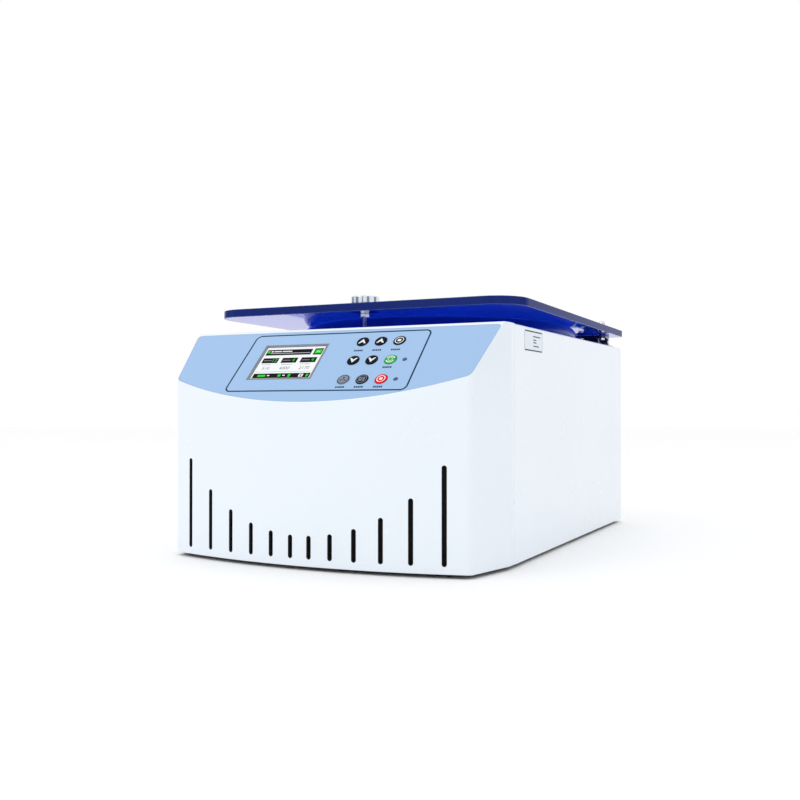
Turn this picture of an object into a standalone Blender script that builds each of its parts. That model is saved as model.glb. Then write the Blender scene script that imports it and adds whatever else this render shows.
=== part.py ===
"""Bench-top laboratory centrifuge with a bowed front, a sloping control panel and a flat acrylic lid.

Metres, +Z up, the front faces -Y. The origin is on the floor under the middle of the machine.
Depths are distances behind the middle of the bowed front; y_at() turns a depth into a Y position.
"""
import math

import bmesh
import bpy
from mathutils import Matrix, Vector

# ---- casing -------------------------------------------------------------------------------
GAP = 0.0003                   # clearance between pieces that touch
HALF_WIDTH = 0.190
CASING_DEPTH = 0.5565
SKIRT = 0.004                  # casing's lower edge above the floor
DECK_HEIGHT = 0.2482           # top of the casing above the floor
COVER_WALL = 0.0025            # moulded front cover
SHEET = 0.002                  # sheet steel panels
SEAM = 0.0006                  # visible joint between casing panels
SEAM_DEPTH = 0.1044            # joint between the front cover and the side panels

FRONT_RADIUS = 0.616           # plan radius of the bowed front
CHEEK_X = 0.1752               # half width where the bow meets the cheeks
CHEEK_DEPTH = 0.0905           # the cheeks reach the full width here
CORNER_RADIUS = 0.008          # rounding between bow and cheek
BOW_STEPS = 16
CORNER_STEPS = 4

SLOPE_TOP_DEPTH = 0.0816       # the sloping face starts here at deck height
SLOPE_FOOT = 0.1679            # height where it meets the middle of the bow
SLOPE = math.atan2(DECK_HEIGHT - SLOPE_FOOT, SLOPE_TOP_DEPTH)

# ---- ventilation slots in the front ---------------------------------------------------------
SLOT_WIDTH = 0.0046
SLOT_FOOT = 0.0116
SLOT_FIRST_PITCH = 0.0217      # between the two middle slots
SLOT_PITCH_GROWTH = 0.00205
SLOT_TOPS = (0.0348, 0.0376, 0.0440, 0.0560, 0.0755, 0.1075)

# ---- control panel, measured on the slope: u to the right, v up the slope from its top edge ----
FASCIA_RECESS = 0.0012
FASCIA_THICKNESS = 0.0008
FASCIA_TOP_V = -0.004
FASCIA_INSET = 0.0009
FASCIA_TOP_CORNER = 0.006
DISPLAY_CENTRE = (-0.0424, -0.0524)
DISPLAY_SIZE = (0.0793, 0.0545)
SCREEN_SIZE = (0.0742, 0.0500)
KEY_COLUMNS = (0.0375, 0.0588, 0.0803)
KEY_ROWS = (-0.0241, -0.0531, -0.0819)
KEY_NAMES = (
    ("speed_up_key", "time_up_key", "pulse_key"),
    ("speed_down_key", "time_down_key", "start_key"),
    ("rotor_key", "menu_key", "stop_key"),
)
KEY_RADIUS = 0.0067
KEY_PROUD = 0.0006
KEY_THICKNESS = 0.0010
KEY_STEM_RADIUS = 0.0035
KEY_STEM_END = -0.0060
KEY_STEPS = 16
LED_U = 0.0962
LED_RADIUS = 0.0023
LED_STEPS = 12
BOARD_FACE = -0.0125           # outer face of the control board below the slope

# ---- chamber and drive ------------------------------------------------------------------------
CHAMBER_DEPTH = 0.345          # chamber's centre
BOWL_RADIUS = 0.150
BOWL_FOOT_RADIUS = 0.144
BOWL_SHEET = 0.0015
BOWL_FLOOR = 0.1098
BOWL_FILLET = 0.016
BOWL_FLANGE_RADIUS = 0.158
BOWL_HOLE_RADIUS = 0.020       # round the shaft boot
DECK_OPENING_RADIUS = 0.153
GUARD_RADIUS = 0.160
GUARD_SHEET = 0.003
SEAL_INNER = 0.160
SEAL_OUTER = 0.168
SEAL_HEIGHT = 0.005
ROUND_STEPS = 40

PAN_FLOOR = 0.008
PAN_FLANGE = 0.014
DAMPER_RADIUS = 0.014
DAMPER_CIRCLE = 0.092
DAMPER_COUNT = 3
MOTOR_PLATE_BASE = 0.040
MOTOR_PLATE_THICKNESS = 0.004
MOTOR_PLATE_RADIUS = 0.115
MOTOR_RADIUS = 0.060
MOTOR_TOP = 0.104
SHAFT_RADIUS = 0.008
SHAFT_STUD_RADIUS = 0.005

# ---- fixed-angle rotor -----------------------------------------------------------------------
ROTOR_BASE = 0.125
POCKET_COUNT = 6
POCKET_RADIUS = 0.015
POCKET_DEPTH = 0.080
POCKET_ANGLE = math.radians(35.0)
ROTOR_REACH = 0.121            # axis to the outermost point of a pocket's floor
ROTOR_WALL = 0.006
ROTOR_HUB_RADIUS = 0.020
ROTOR_BORE = SHAFT_RADIUS + GAP

# ---- lid ----------------------------------------------------------------------------------------
HINGE_DEPTH = 0.5495
HINGE_HEIGHT = DECK_HEIGHT + 0.0085
LID_TILT = math.radians(0.66)  # the closed lid's front edge stands a little high on its seal
LID_RISE = 0.0073              # plate's underside above the hinge axis
LID_THICKNESS = 0.0091
LID_HALF_WIDTH = 0.1916
LID_FRONT_DEPTH = 0.1086
LID_REAR_REACH = 0.0155        # plate behind the hinge axis
LID_FRONT_CORNER = 0.037
LID_REAR_CORNER = 0.008
COVER_TOP_RADIUS = 0.167
COVER_RIM_RADIUS = 0.179
COVER_HEIGHT = 0.015
COVER_THICKNESS = 0.003
KNOB_DEPTH = 0.138
KNOB_RADIUS = 0.016
KNOB_HEIGHT = 0.0098
STUD_RADIUS = 0.0025
STUD_LENGTH = 0.032            # below the plate
STUD_HOLE = STUD_RADIUS + GAP

# ---- hinges ---------------------------------------------------------------------------------------
HINGE_X = 0.157
LEAF_SIZE = (0.043, 0.029, 0.0036)
LEAF_FRONT_DEPTH = 0.512
ARM_WIDTH = 0.021
ARM_FRONT_DEPTH = 0.518
BARREL_RADIUS = 0.0055
PIN_RADIUS = 0.0025
EAR_WIDTH = 0.0045
EAR_RADIUS = 0.0065
FOOT_PLATE = (0.046, 0.038, 0.0025)
HINGE_BOLT_SPREAD = 0.015
HINGE_BOLT_DEPTH = 0.520
ACORN_RADIUS = 0.0055
ACORN_HEIGHT = 0.0115

# ---- rear power entry -----------------------------------------------------------------------------
POWER_HEIGHT = 0.062
INLET_X = -0.118
SWITCH_X = -0.078
FUSE_X = -0.048
ROCKER_THROW = math.radians(12.0)

OVERALL_DEPTH = (HINGE_DEPTH + LID_REAR_REACH * math.cos(LID_TILT)
                 + (LID_RISE + LID_THICKNESS) * math.sin(LID_TILT))


def y_at(depth):
    """Y position of a depth measured from the middle of the bowed front."""
    return depth - OVERALL_DEPTH / 2


# ---- modelling helpers ------------------------------------------------------------------------------

def clear_scene():
    for obj in list(bpy.data.objects):
        bpy.data.objects.remove(obj, do_unlink=True)


def make_material(name, color, roughness, metallic=0.0, alpha=1.0):
    material = bpy.data.materials.new(name)
    material.use_nodes = True
    shader = material.node_tree.nodes["Principled BSDF"]
    shader.inputs["Base Color"].default_value = (*color, 1.0)
    shader.inputs["Roughness"].default_value = roughness
    shader.inputs["Metallic"].default_value = metallic
    shader.inputs["Alpha"].default_value = alpha
    return material


def place(obj, parent=None, location=(0, 0, 0), rotation=(0, 0, 0)):
    bpy.context.collection.objects.link(obj)
    obj.parent = parent
    obj.location = location
    obj.rotation_euler = rotation
    return obj


def add_frame(name, location, rotation=(0, 0, 0)):
    """An empty that other pieces are placed in."""
    return place(bpy.data.objects.new(name, None), None, location, rotation)


def face_outwards(bm):
    bmesh.ops.recalc_face_normals(bm, faces=bm.faces)
    if bm.calc_volume(signed=True) < 0:
        bmesh.ops.reverse_faces(bm, faces=bm.faces)


def add_solid(name, bm, material, parent=None, location=(0, 0, 0), rotation=(0, 0, 0)):
    face_outwards(bm)
    mesh = bpy.data.meshes.new(name)
    bm.to_mesh(mesh)
    bm.free()
    mesh.shade_smooth()
    mesh.set_sharp_from_angle(angle=math.radians(32))
    obj = bpy.data.objects.new(name, mesh)
    if material is not None:
        mesh.materials.append(material)
    return place(obj, parent, location, rotation)


def combine(obj, tool, operation):
    """Boolean of a tool on an object; the tool stays as a hidden guide."""
    tool.hide_render = True
    tool.display_type = "WIRE"
    modifier = obj.modifiers.new(operation.lower(), "BOOLEAN")
    modifier.operation = operation
    modifier.solver = "EXACT"
    modifier.object = tool


def cut(obj, bm, parent=None, location=(0, 0, 0), rotation=(0, 0, 0)):
    tool = add_solid(obj.name + "_cutter", bm, None, parent, location, rotation)
    combine(obj, tool, "DIFFERENCE")


def fuse(obj, bm, parent=None, location=(0, 0, 0), rotation=(0, 0, 0)):
    tool = add_solid(obj.name + "_guide", bm, None, parent, location, rotation)
    combine(obj, tool, "UNION")


def add_prism(bm, outline, low, high):
    """Closed prism over an outline in XY, added to a mesh."""
    face = bm.faces.new([bm.verts.new((x, y, low)) for x, y in outline])
    lifted = bmesh.ops.extrude_face_region(bm, geom=[face])["geom"]
    verts = [item for item in lifted if isinstance(item, bmesh.types.BMVert)]
    bmesh.ops.translate(bm, verts=verts, vec=(0, 0, high - low))


def prism(outline, low, high):
    bm = bmesh.new()
    add_prism(bm, outline, low, high)
    return bm


def block(x_range, y_range, z_range):
    return prism(rectangle(x_range, y_range), *z_range)


def side_prism(outline, half_width):
    """Prism along X over an outline in YZ."""
    bm = prism(outline, -half_width, half_width)
    bm.transform(Matrix(((0, 0, 1, 0), (1, 0, 0, 0), (0, 1, 0, 0), (0, 0, 0, 1))))
    return bm


def turned(profile, steps, ring=False):
    """Solid of revolution about Z. A ring's profile closes on itself; others end on the axis."""
    bm = bmesh.new()
    verts = [bm.verts.new((radius, 0, height)) for radius, height in profile]
    pairs = list(zip(verts, verts[1:]))
    if ring:
        pairs.append((verts[-1], verts[0]))
    edges = [bm.edges.new(pair) for pair in pairs]
    bmesh.ops.spin(bm, geom=verts + edges, cent=(0, 0, 0), axis=(0, 0, 1),
                   angle=2 * math.pi, steps=steps, use_merge=True)
    bmesh.ops.remove_doubles(bm, verts=bm.verts, dist=1e-6)
    return bm


def rectangle(x_range, y_range):
    (x0, x1), (y0, y1) = x_range, y_range
    return [(x0, y0), (x1, y0), (x1, y1), (x0, y1)]


def centred(centre, size):
    return rectangle((centre[0] - size[0] / 2, centre[0] + size[0] / 2),
                     (centre[1] - size[1] / 2, centre[1] + size[1] / 2))


def arc(centre, radius, start, end, steps):
    """Points on a circle, both ends included; angles in degrees from +X."""
    angles = [math.radians(start + (end - start) * i / steps) for i in range(steps + 1)]
    return [(centre[0] + radius * math.cos(a), centre[1] + radius * math.sin(a)) for a in angles]


def circle(centre, radius, steps):
    return arc(centre, radius, 0, 360, steps)[:-1]


def capsule(x, low, high, width, steps=4):
    """Upright slot outline with round ends."""
    radius = width / 2
    return (arc((x, high - radius), radius, 0, 180, steps)
            + arc((x, low + radius), radius, 180, 360, steps))


def rounded_box(x_range, y_range, radii, steps=6):
    """Rectangle with its own radius at each corner: front left, front right, rear right, rear left."""
    (x0, x1), (y0, y1) = x_range, y_range
    a, b, c, d = radii
    return (arc((x0 + a, y0 + a), a, 180, 270, steps) + arc((x1 - b, y0 + b), b, 270, 360, steps)
            + arc((x1 - c, y1 - c), c, 0, 90, steps) + arc((x0 + d, y1 - d), d, 90, 180, steps))


# ---- plan outline of the casing -----------------------------------------------------------------------

def corner_fillet():
    """Centre of the rounding between bow and cheek, and the cheek's direction and outward normal."""
    start = Vector((CHEEK_X, FRONT_RADIUS - math.sqrt(FRONT_RADIUS ** 2 - CHEEK_X ** 2)))
    along = (Vector((HALF_WIDTH, CHEEK_DEPTH)) - start).normalized()
    outward = Vector((along.y, -along.x))
    base = start - CORNER_RADIUS * outward - Vector((0, FRONT_RADIUS))
    half_b = base.dot(along)
    reach = (FRONT_RADIUS - CORNER_RADIUS) ** 2 - base.length_squared
    travel = -half_b - math.sqrt(half_b ** 2 + reach)
    return base + travel * along + Vector((0, FRONT_RADIUS)), along, outward


def front_outline(inset, rear_depth):
    """Plan outline of the bow, the cheeks and the straight sides, pulled in by inset, in (x, depth)."""
    centre, along, outward = corner_fillet()
    bow_end = math.degrees(math.atan2(centre.x, FRONT_RADIUS - centre.y))
    cheek_angle = math.degrees(math.atan2(outward.y, outward.x))
    bow = arc((0, FRONT_RADIUS), FRONT_RADIUS - inset, 270 - bow_end, 270 + bow_end, BOW_STEPS)
    corner = arc(centre, CORNER_RADIUS - inset, bow_end - 90, cheek_angle, CORNER_STEPS)[1:]
    last = Vector(corner[-1])
    bend_depth = last.y + along.y * (HALF_WIDTH - inset - last.x) / along.x
    if rear_depth <= bend_depth:
        right = corner + [tuple(last + along * ((rear_depth - last.y) / along.y))]
    else:
        right = corner + [(HALF_WIDTH - inset, bend_depth), (HALF_WIDTH - inset, rear_depth)]
    left = [(-x, depth) for x, depth in reversed(right)]
    return left + bow + right


def in_plan(points):
    return [(x, y_at(depth)) for x, depth in points]


def cover_body(inset, low, rear_depth):
    """Solid under the deck and the slope, pulled in by inset on every face."""
    bm = prism(in_plan(front_outline(inset, rear_depth)), low, DECK_HEIGHT - inset)
    normal = Vector((0, -math.sin(SLOPE), math.cos(SLOPE)))
    edge = Vector((0, y_at(SLOPE_TOP_DEPTH), DECK_HEIGHT)) - normal * inset
    everything = bm.verts[:] + bm.edges[:] + bm.faces[:]
    bmesh.ops.bisect_plane(bm, geom=everything, plane_co=edge, plane_no=normal, clear_outer=True)
    bmesh.ops.holes_fill(bm, edges=bm.edges)
    return bm


def fascia_outline(margin):
    """Outline of the printed fascia on the slope, grown by margin, in (u, v)."""
    points = front_outline(FASCIA_INSET - margin, SLOPE_TOP_DEPTH)
    on_slope = [(x, (depth - SLOPE_TOP_DEPTH) / math.cos(SLOPE)) for x, depth in points]
    top = FASCIA_TOP_V + margin
    (lean_x, lean_v), (side_x, side_v) = on_slope[-1], on_slope[-2]
    side = Vector((lean_x - side_x, lean_v - side_v)).normalized()
    corner_x = side_x + side.x * (top - side_v) / side.y
    radius = FASCIA_TOP_CORNER + margin
    corner = Vector((corner_x, top))
    shoulder = [tuple(corner - side * radius), tuple(corner - 0.3 * radius * (side + Vector((1, 0)))),
                tuple(corner - Vector((radius, 0)))]
    mirrored = [(-x, v) for x, v in reversed(shoulder)]
    return mirrored + on_slope[1:-1] + shoulder


# ---- casing -------------------------------------------------------------------------------------------

def make_front_cover(white, panel_frame):
    cover = add_solid("front_cover", cover_body(0, SKIRT, SEAM_DEPTH), white)
    cut(cover, cover_body(COVER_WALL, -SKIRT, SEAM_DEPTH + 0.02))
    slots = bmesh.new()
    x = SLOT_FIRST_PITCH / 2
    for order, top in enumerate(SLOT_TOPS):
        for side in (-1, 1):
            add_prism(slots, capsule(side * x, SLOT_FOOT, top, SLOT_WIDTH), -0.06, 0.01)
        x += SLOT_FIRST_PITCH + SLOT_PITCH_GROWTH * (order + 1)
    cut(cover, slots, None, (0, y_at(0), 0), (math.pi / 2, 0, 0))
    cut(cover, prism(fascia_outline(GAP), -FASCIA_RECESS, 0.002), panel_frame)
    holes = bmesh.new()
    add_prism(holes, centred(DISPLAY_CENTRE, grown(DISPLAY_SIZE, 2 * GAP)), -0.008, 0)
    for v in KEY_ROWS:
        for u in KEY_COLUMNS:
            add_prism(holes, circle((u, v), KEY_STEM_RADIUS + 0.0005, KEY_STEPS), -0.008, 0)
    for v in KEY_ROWS[1:]:
        add_prism(holes, circle((LED_U, v), LED_RADIUS + GAP, LED_STEPS), -0.008, 0)
    cut(cover, holes, panel_frame)


def grown(size, extra):
    return (size[0] + extra, size[1] + extra)


def make_side_panels(white):
    """Folded side panels: an upright wall with a rounded bend and a flange under the deck's level."""
    bend = 0.003
    flange = 0.012
    low, high = SKIRT, DECK_HEIGHT
    outer = [(0, low)] + arc((-bend, high - bend), bend, 0, 90, 5) + [(-flange, high)]
    inner = [(-flange, high - SHEET)] + arc((-bend, high - bend), bend - SHEET, 90, 0, 3) + [(-SHEET, low)]
    length = CASING_DEPTH - SEAM_DEPTH - SEAM
    for name, side in (("left_side_panel", -1), ("right_side_panel", 1)):
        outline = [(side * x, z) for x, z in outer + inner]
        bm = prism(outline, -length / 2, length / 2)
        middle = SEAM_DEPTH + SEAM + length / 2
        add_solid(name, bm, white, None, (side * HALF_WIDTH, y_at(middle), 0), (math.pi / 2, 0, 0))


def make_deck(white):
    half = HALF_WIDTH - 0.012 - SEAM
    front = y_at(SEAM_DEPTH + SEAM)
    rear = y_at(CASING_DEPTH)
    deck = add_solid("top_deck", block((-half, half), (front, rear), (DECK_HEIGHT - SHEET, DECK_HEIGHT)), white)
    openings = bmesh.new()
    low, high = DECK_HEIGHT - 0.01, DECK_HEIGHT + 0.01
    add_prism(openings, circle((0, y_at(CHAMBER_DEPTH)), DECK_OPENING_RADIUS, ROUND_STEPS), low, high)
    add_prism(openings, circle((0, y_at(KNOB_DEPTH)), 0.006, 20), low, high)
    cut(deck, openings)


def make_rear_panel(white, rear_frame):
    half = HALF_WIDTH - SHEET - SEAM
    outline = rectangle((-half, half), (SKIRT, DECK_HEIGHT - SHEET - GAP))
    panel = add_solid("rear_panel", prism(outline, -SHEET, 0), white, rear_frame)
    openings = bmesh.new()
    vents = bmesh.new()
    for row in (0.085, 0.135):
        for column in range(9):
            x = -0.145 + 0.012 * column
            add_prism(vents, capsule(x, row, row + 0.036, 0.004, 3), -0.01, 0.01)
    add_prism(openings, centred((-INLET_X, POWER_HEIGHT), (0.0286, 0.0206)), -0.01, 0.01)
    add_prism(openings, centred((-SWITCH_X, POWER_HEIGHT), (0.0156, 0.0236)), -0.01, 0.01)
    add_prism(openings, circle((-FUSE_X, POWER_HEIGHT), 0.0073, 20), -0.01, 0.01)
    cut(panel, openings, rear_frame)
    cut(panel, vents, rear_frame)


def make_base(dark_metal, rubber):
    """Tray with an upturned flange, standing on four rubber feet."""
    outer = in_plan(front_outline(COVER_WALL + 0.0007, CASING_DEPTH - SHEET - 0.0007))
    inner = in_plan(front_outline(COVER_WALL + 0.0007 + SHEET, CASING_DEPTH - 2 * SHEET - 0.0007))
    pan = add_solid("base_pan", prism(outer, PAN_FLOOR, PAN_FLOOR + PAN_FLANGE), dark_metal)
    cut(pan, prism(inner, PAN_FLOOR + SHEET, PAN_FLOOR + PAN_FLANGE + 0.01))
    profile = [(0, 0), (0.014, 0), (0.016, 0.002), (0.015, PAN_FLOOR - GAP), (0, PAN_FLOOR - GAP)]
    for name, x, depth in (("foot_front_left", -0.140, 0.075), ("foot_front_right", 0.140, 0.075),
                           ("foot_rear_left", -0.150, 0.510), ("foot_rear_right", 0.150, 0.510)):
        add_solid(name, turned(profile, 18), rubber, None, (x, y_at(depth), 0))


# ---- chamber and drive ------------------------------------------------------------------------------------

def make_chamber(stainless, steel, rubber):
    centre = (0, y_at(CHAMBER_DEPTH), 0)
    rim = DECK_HEIGHT + GAP
    corner = (BOWL_FOOT_RADIUS - BOWL_FILLET, BOWL_FLOOR + BOWL_FILLET)
    joint = BOWL_FLOOR + BOWL_FILLET + GAP
    wall = [(BOWL_RADIUS, rim + BOWL_SHEET), (BOWL_FOOT_RADIUS, joint), (BOWL_FOOT_RADIUS + BOWL_SHEET, joint),
            (BOWL_RADIUS + BOWL_SHEET, rim), (BOWL_FLANGE_RADIUS, rim), (BOWL_FLANGE_RADIUS, rim + BOWL_SHEET)]
    add_solid("chamber_bowl", turned(wall, ROUND_STEPS, ring=True), stainless, None, centre)
    inside = arc(corner, BOWL_FILLET, 0, -90, 4)
    outside = arc(corner, BOWL_FILLET + BOWL_SHEET, -90, 0, 4)
    middle = [(BOWL_HOLE_RADIUS, BOWL_FLOOR), (BOWL_HOLE_RADIUS, BOWL_FLOOR - BOWL_SHEET)]
    add_solid("chamber_floor", turned(inside + middle + outside, ROUND_STEPS, ring=True), stainless, None, centre)

    low, high = PAN_FLOOR + SHEET + GAP, DECK_HEIGHT - SHEET - GAP
    guard = [(GUARD_RADIUS, low), (GUARD_RADIUS + GUARD_SHEET, low),
             (GUARD_RADIUS + GUARD_SHEET, high), (GUARD_RADIUS, high)]
    add_solid("guard_ring", turned(guard, ROUND_STEPS, ring=True), steel, None, centre)

    mid, half = (SEAL_INNER + SEAL_OUTER) / 2, (SEAL_OUTER - SEAL_INNER) / 2
    bead = arc((mid, rim + SEAL_HEIGHT - half / 2), half / 2, 0, 180, 4)
    lip = [(SEAL_INNER, rim), (SEAL_OUTER, rim), (SEAL_OUTER, rim + 0.0015)] + bead
    lip.append((SEAL_INNER, rim + 0.0015))
    add_solid("chamber_seal", turned(lip, ROUND_STEPS, ring=True), rubber, None, centre)

    boot_low = BOWL_FLOOR + GAP
    boot = [(0.0105, boot_low), (0.028, boot_low), (0.028, boot_low + 0.002), (0.016, boot_low + 0.006),
            (0.014, boot_low + 0.010), (0.0105, boot_low + 0.010)]
    add_solid("shaft_boot", turned(boot, 20, ring=True), rubber, None, centre)


def make_drive(steel, dark_metal, rubber):
    centre = Vector((0, y_at(CHAMBER_DEPTH), 0))
    plate_top = MOTOR_PLATE_BASE + MOTOR_PLATE_THICKNESS
    plate = circle((0, 0), MOTOR_PLATE_RADIUS, 32)
    add_solid("motor_plate", prism(plate, MOTOR_PLATE_BASE, plate_top), steel, None, centre)
    low = plate_top + GAP
    bore = SHAFT_RADIUS + GAP
    motor = [(0, low), (MOTOR_RADIUS, low), (MOTOR_RADIUS, MOTOR_TOP - 0.012), (0.054, MOTOR_TOP - 0.006),
             (0.024, MOTOR_TOP - 0.006), (0.022, MOTOR_TOP), (bore, MOTOR_TOP), (bore, MOTOR_TOP - 0.030),
             (0, MOTOR_TOP - 0.030)]
    add_solid("motor_body", turned(motor, 28), dark_metal, None, centre)
    foot = PAN_FLOOR + SHEET + GAP
    waist = DAMPER_RADIUS - 0.003
    top = MOTOR_PLATE_BASE - GAP
    damper = [(0, foot), (DAMPER_RADIUS, foot), (DAMPER_RADIUS, foot + 0.004), (waist, foot + 0.008),
              (waist, top - 0.008), (DAMPER_RADIUS, top - 0.004), (DAMPER_RADIUS, top), (0, top)]
    for number in range(DAMPER_COUNT):
        angle = math.radians(90 + 360 * number / DAMPER_COUNT)
        spot = centre + DAMPER_CIRCLE * Vector((math.cos(angle), math.sin(angle), 0))
        add_solid("motor_damper_%d" % (number + 1), turned(damper, 14), rubber, None, spot)


def rotor_point(along, across):
    """A point in a pocket's own section plane, as (radius, height) above the rotor's base.

    along runs up the pocket's axis from its floor, across runs outward from the axis.
    """
    lean = POCKET_ANGLE
    floor_radius = ROTOR_REACH - POCKET_RADIUS * math.cos(lean)
    floor_height = 0.018
    return (floor_radius - along * math.sin(lean) + across * math.cos(lean),
            floor_height + along * math.cos(lean) + across * math.sin(lean))


def make_rotor(alloy, steel):
    centre = (0, y_at(CHAMBER_DEPTH), ROTOR_BASE)
    skin = POCKET_RADIUS + ROTOR_WALL
    hub_top = 0.072
    well = hub_top - 0.006
    mouth_in = rotor_point(POCKET_DEPTH, -skin)
    mouth_out = rotor_point(POCKET_DEPTH, skin)
    shoulder = rotor_point(0.004, skin)
    heel = rotor_point(-ROTOR_WALL, -0.010)
    profile = [(ROTOR_BORE, hub_top), (ROTOR_HUB_RADIUS - 0.001, hub_top), (ROTOR_HUB_RADIUS, hub_top - 0.001),
               (ROTOR_HUB_RADIUS, well), (mouth_in[0] - 0.006, well), mouth_in, mouth_out, shoulder,
               (shoulder[0], shoulder[1] - 0.010), heel, (0.097, 0), (0.094, 0), (0.052, 0.056),
               (0.018, 0.056), (0.018, 0.020), (ROTOR_BORE, 0.020)]
    rotor = add_solid("rotor", turned(profile, 36, ring=True), alloy, None, centre)
    pockets = bmesh.new()
    for number in range(POCKET_COUNT):
        tool = turned([(0, 0), (POCKET_RADIUS - 0.004, 0), (POCKET_RADIUS, 0.004),
                       (POCKET_RADIUS, POCKET_DEPTH + 0.02), (0, POCKET_DEPTH + 0.02)], 16)
        face_outwards(tool)
        radius, height = rotor_point(0, 0)
        turn = Matrix.Rotation(2 * math.pi * number / POCKET_COUNT, 4, "Z")
        lean = Matrix.Translation((radius, 0, height)) @ Matrix.Rotation(-POCKET_ANGLE, 4, "Y")
        tool.transform(turn @ lean)
        scratch = bpy.data.meshes.new("pocket")
        tool.to_mesh(scratch)
        tool.free()
        pockets.from_mesh(scratch)
        bpy.data.meshes.remove(scratch)
    cut(rotor, pockets, None, centre)

    nut = [(0, 0.018), (0.012, 0.018), (0.015, 0.0155), (0.015, 0.004), (0.018, 0.003), (0.018, 0),
           (SHAFT_STUD_RADIUS + GAP, 0), (SHAFT_STUD_RADIUS + GAP, 0.011), (0, 0.011)]
    nut_base = ROTOR_BASE + hub_top + GAP
    add_solid("rotor_nut", turned(nut, 20), steel, None, (centre[0], centre[1], nut_base))
    low = MOTOR_TOP - 0.030 + GAP
    shaft = [(0, low), (SHAFT_RADIUS, low), (SHAFT_RADIUS, nut_base - GAP), (SHAFT_STUD_RADIUS, nut_base - GAP),
             (SHAFT_STUD_RADIUS, nut_base + 0.010), (0, nut_base + 0.010)]
    add_solid("drive_shaft", turned(shaft, 20), steel, None, (centre[0], centre[1], 0))


# ---- control panel ---------------------------------------------------------------------------------------------

def make_fascia(blue, panel_frame):
    low = GAP - FASCIA_RECESS
    fascia = add_solid("control_fascia", prism(fascia_outline(0), low, low + FASCIA_THICKNESS), blue, panel_frame)
    holes = bmesh.new()
    add_prism(holes, centred(DISPLAY_CENTRE, grown(DISPLAY_SIZE, 2 * GAP)), -0.01, 0.01)
    for v in KEY_ROWS:
        for u in KEY_COLUMNS:
            add_prism(holes, circle((u, v), KEY_RADIUS + GAP, KEY_STEPS), -0.01, 0.01)
    for v in KEY_ROWS[1:]:
        add_prism(holes, circle((LED_U, v), LED_RADIUS + GAP, LED_STEPS), -0.01, 0.01)
    cut(fascia, holes, panel_frame)


def make_display(grey, glass, panel_frame):
    bezel = add_solid("display_bezel", prism(centred((0, 0), DISPLAY_SIZE), -0.004, -0.0003), grey,
                      panel_frame, (*DISPLAY_CENTRE, 0))
    cut(bezel, prism(centred((0, 0), SCREEN_SIZE), -0.01, 0.01), panel_frame, (*DISPLAY_CENTRE, 0))
    window = grown(SCREEN_SIZE, -2 * GAP)
    screen = add_solid("display_module", prism(centred((0, 0), window), -0.006, -0.0012), glass,
                       panel_frame, (*DISPLAY_CENTRE, 0))
    back = centred((0, 0), grown(DISPLAY_SIZE, 0.004))
    fuse(screen, prism(back, -0.0105, -0.004 - GAP), panel_frame, (*DISPLAY_CENTRE, 0))


def make_keys(key_materials, panel_frame):
    top = KEY_PROUD
    under = KEY_PROUD - KEY_THICKNESS
    profile = [(0, top), (KEY_RADIUS - 0.0004, top), (KEY_RADIUS, top - 0.0003), (KEY_RADIUS, under),
               (KEY_STEM_RADIUS, under), (KEY_STEM_RADIUS, KEY_STEM_END), (0, KEY_STEM_END)]
    for names, v in zip(KEY_NAMES, KEY_ROWS):
        for name, u in zip(names, KEY_COLUMNS):
            material = key_materials.get(name, key_materials["other"])
            add_solid(name, turned(profile, KEY_STEPS), material, panel_frame, (u, v, 0))


def make_leds(material, panel_frame):
    for name, v in (("run_led", KEY_ROWS[1]), ("stop_led", KEY_ROWS[2])):
        lens = prism(circle((0, 0), LED_RADIUS, LED_STEPS), KEY_STEM_END, 0)
        add_solid(name, lens, material, panel_frame, (LED_U, v, 0))


def make_boards(green, panel_frame):
    outline = rectangle((-0.100, 0.112), (-0.099, -0.010))
    board = add_solid("control_board", prism(outline, BOARD_FACE - 0.0016, BOARD_FACE), green, panel_frame)
    switches = bmesh.new()
    for v in KEY_ROWS:
        for u in KEY_COLUMNS:
            add_prism(switches, centred((u, v), (0.006, 0.006)), BOARD_FACE - 0.0008, KEY_STEM_END - 0.0008)
    for v in KEY_ROWS[1:]:
        add_prism(switches, centred((LED_U, v), (0.004, 0.002)), BOARD_FACE - 0.0008, KEY_STEM_END - 0.0008)
    fuse(board, switches, panel_frame)

    low, thick = 0.020, 0.0016
    spot = (0, y_at(0.112), low)
    drive = add_solid("drive_board", block((-0.110, 0.110), (-0.045, 0.045), (0, thick)), green, None, spot)
    parts = bmesh.new()
    add_prism(parts, rectangle((-0.100, -0.040), (-0.030, 0.010)), thick / 2, 0.034)
    add_prism(parts, rectangle((0.045, 0.095), (-0.030, 0.015)), thick / 2, 0.040)
    for x in (-0.018, 0.012):
        add_prism(parts, circle((x, 0.020), 0.011, 16), thick / 2, 0.038)
    fuse(drive, parts, None, spot)
    legs = bmesh.new()
    for x in (-0.104, 0.104):
        for y in (-0.039, 0.039):
            add_prism(legs, circle((x, y), 0.003, 8), PAN_FLOOR + SHEET + GAP - low, thick / 2)
    fuse(drive, legs, None, spot)


# ---- rear power entry ---------------------------------------------------------------------------------------------

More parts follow.
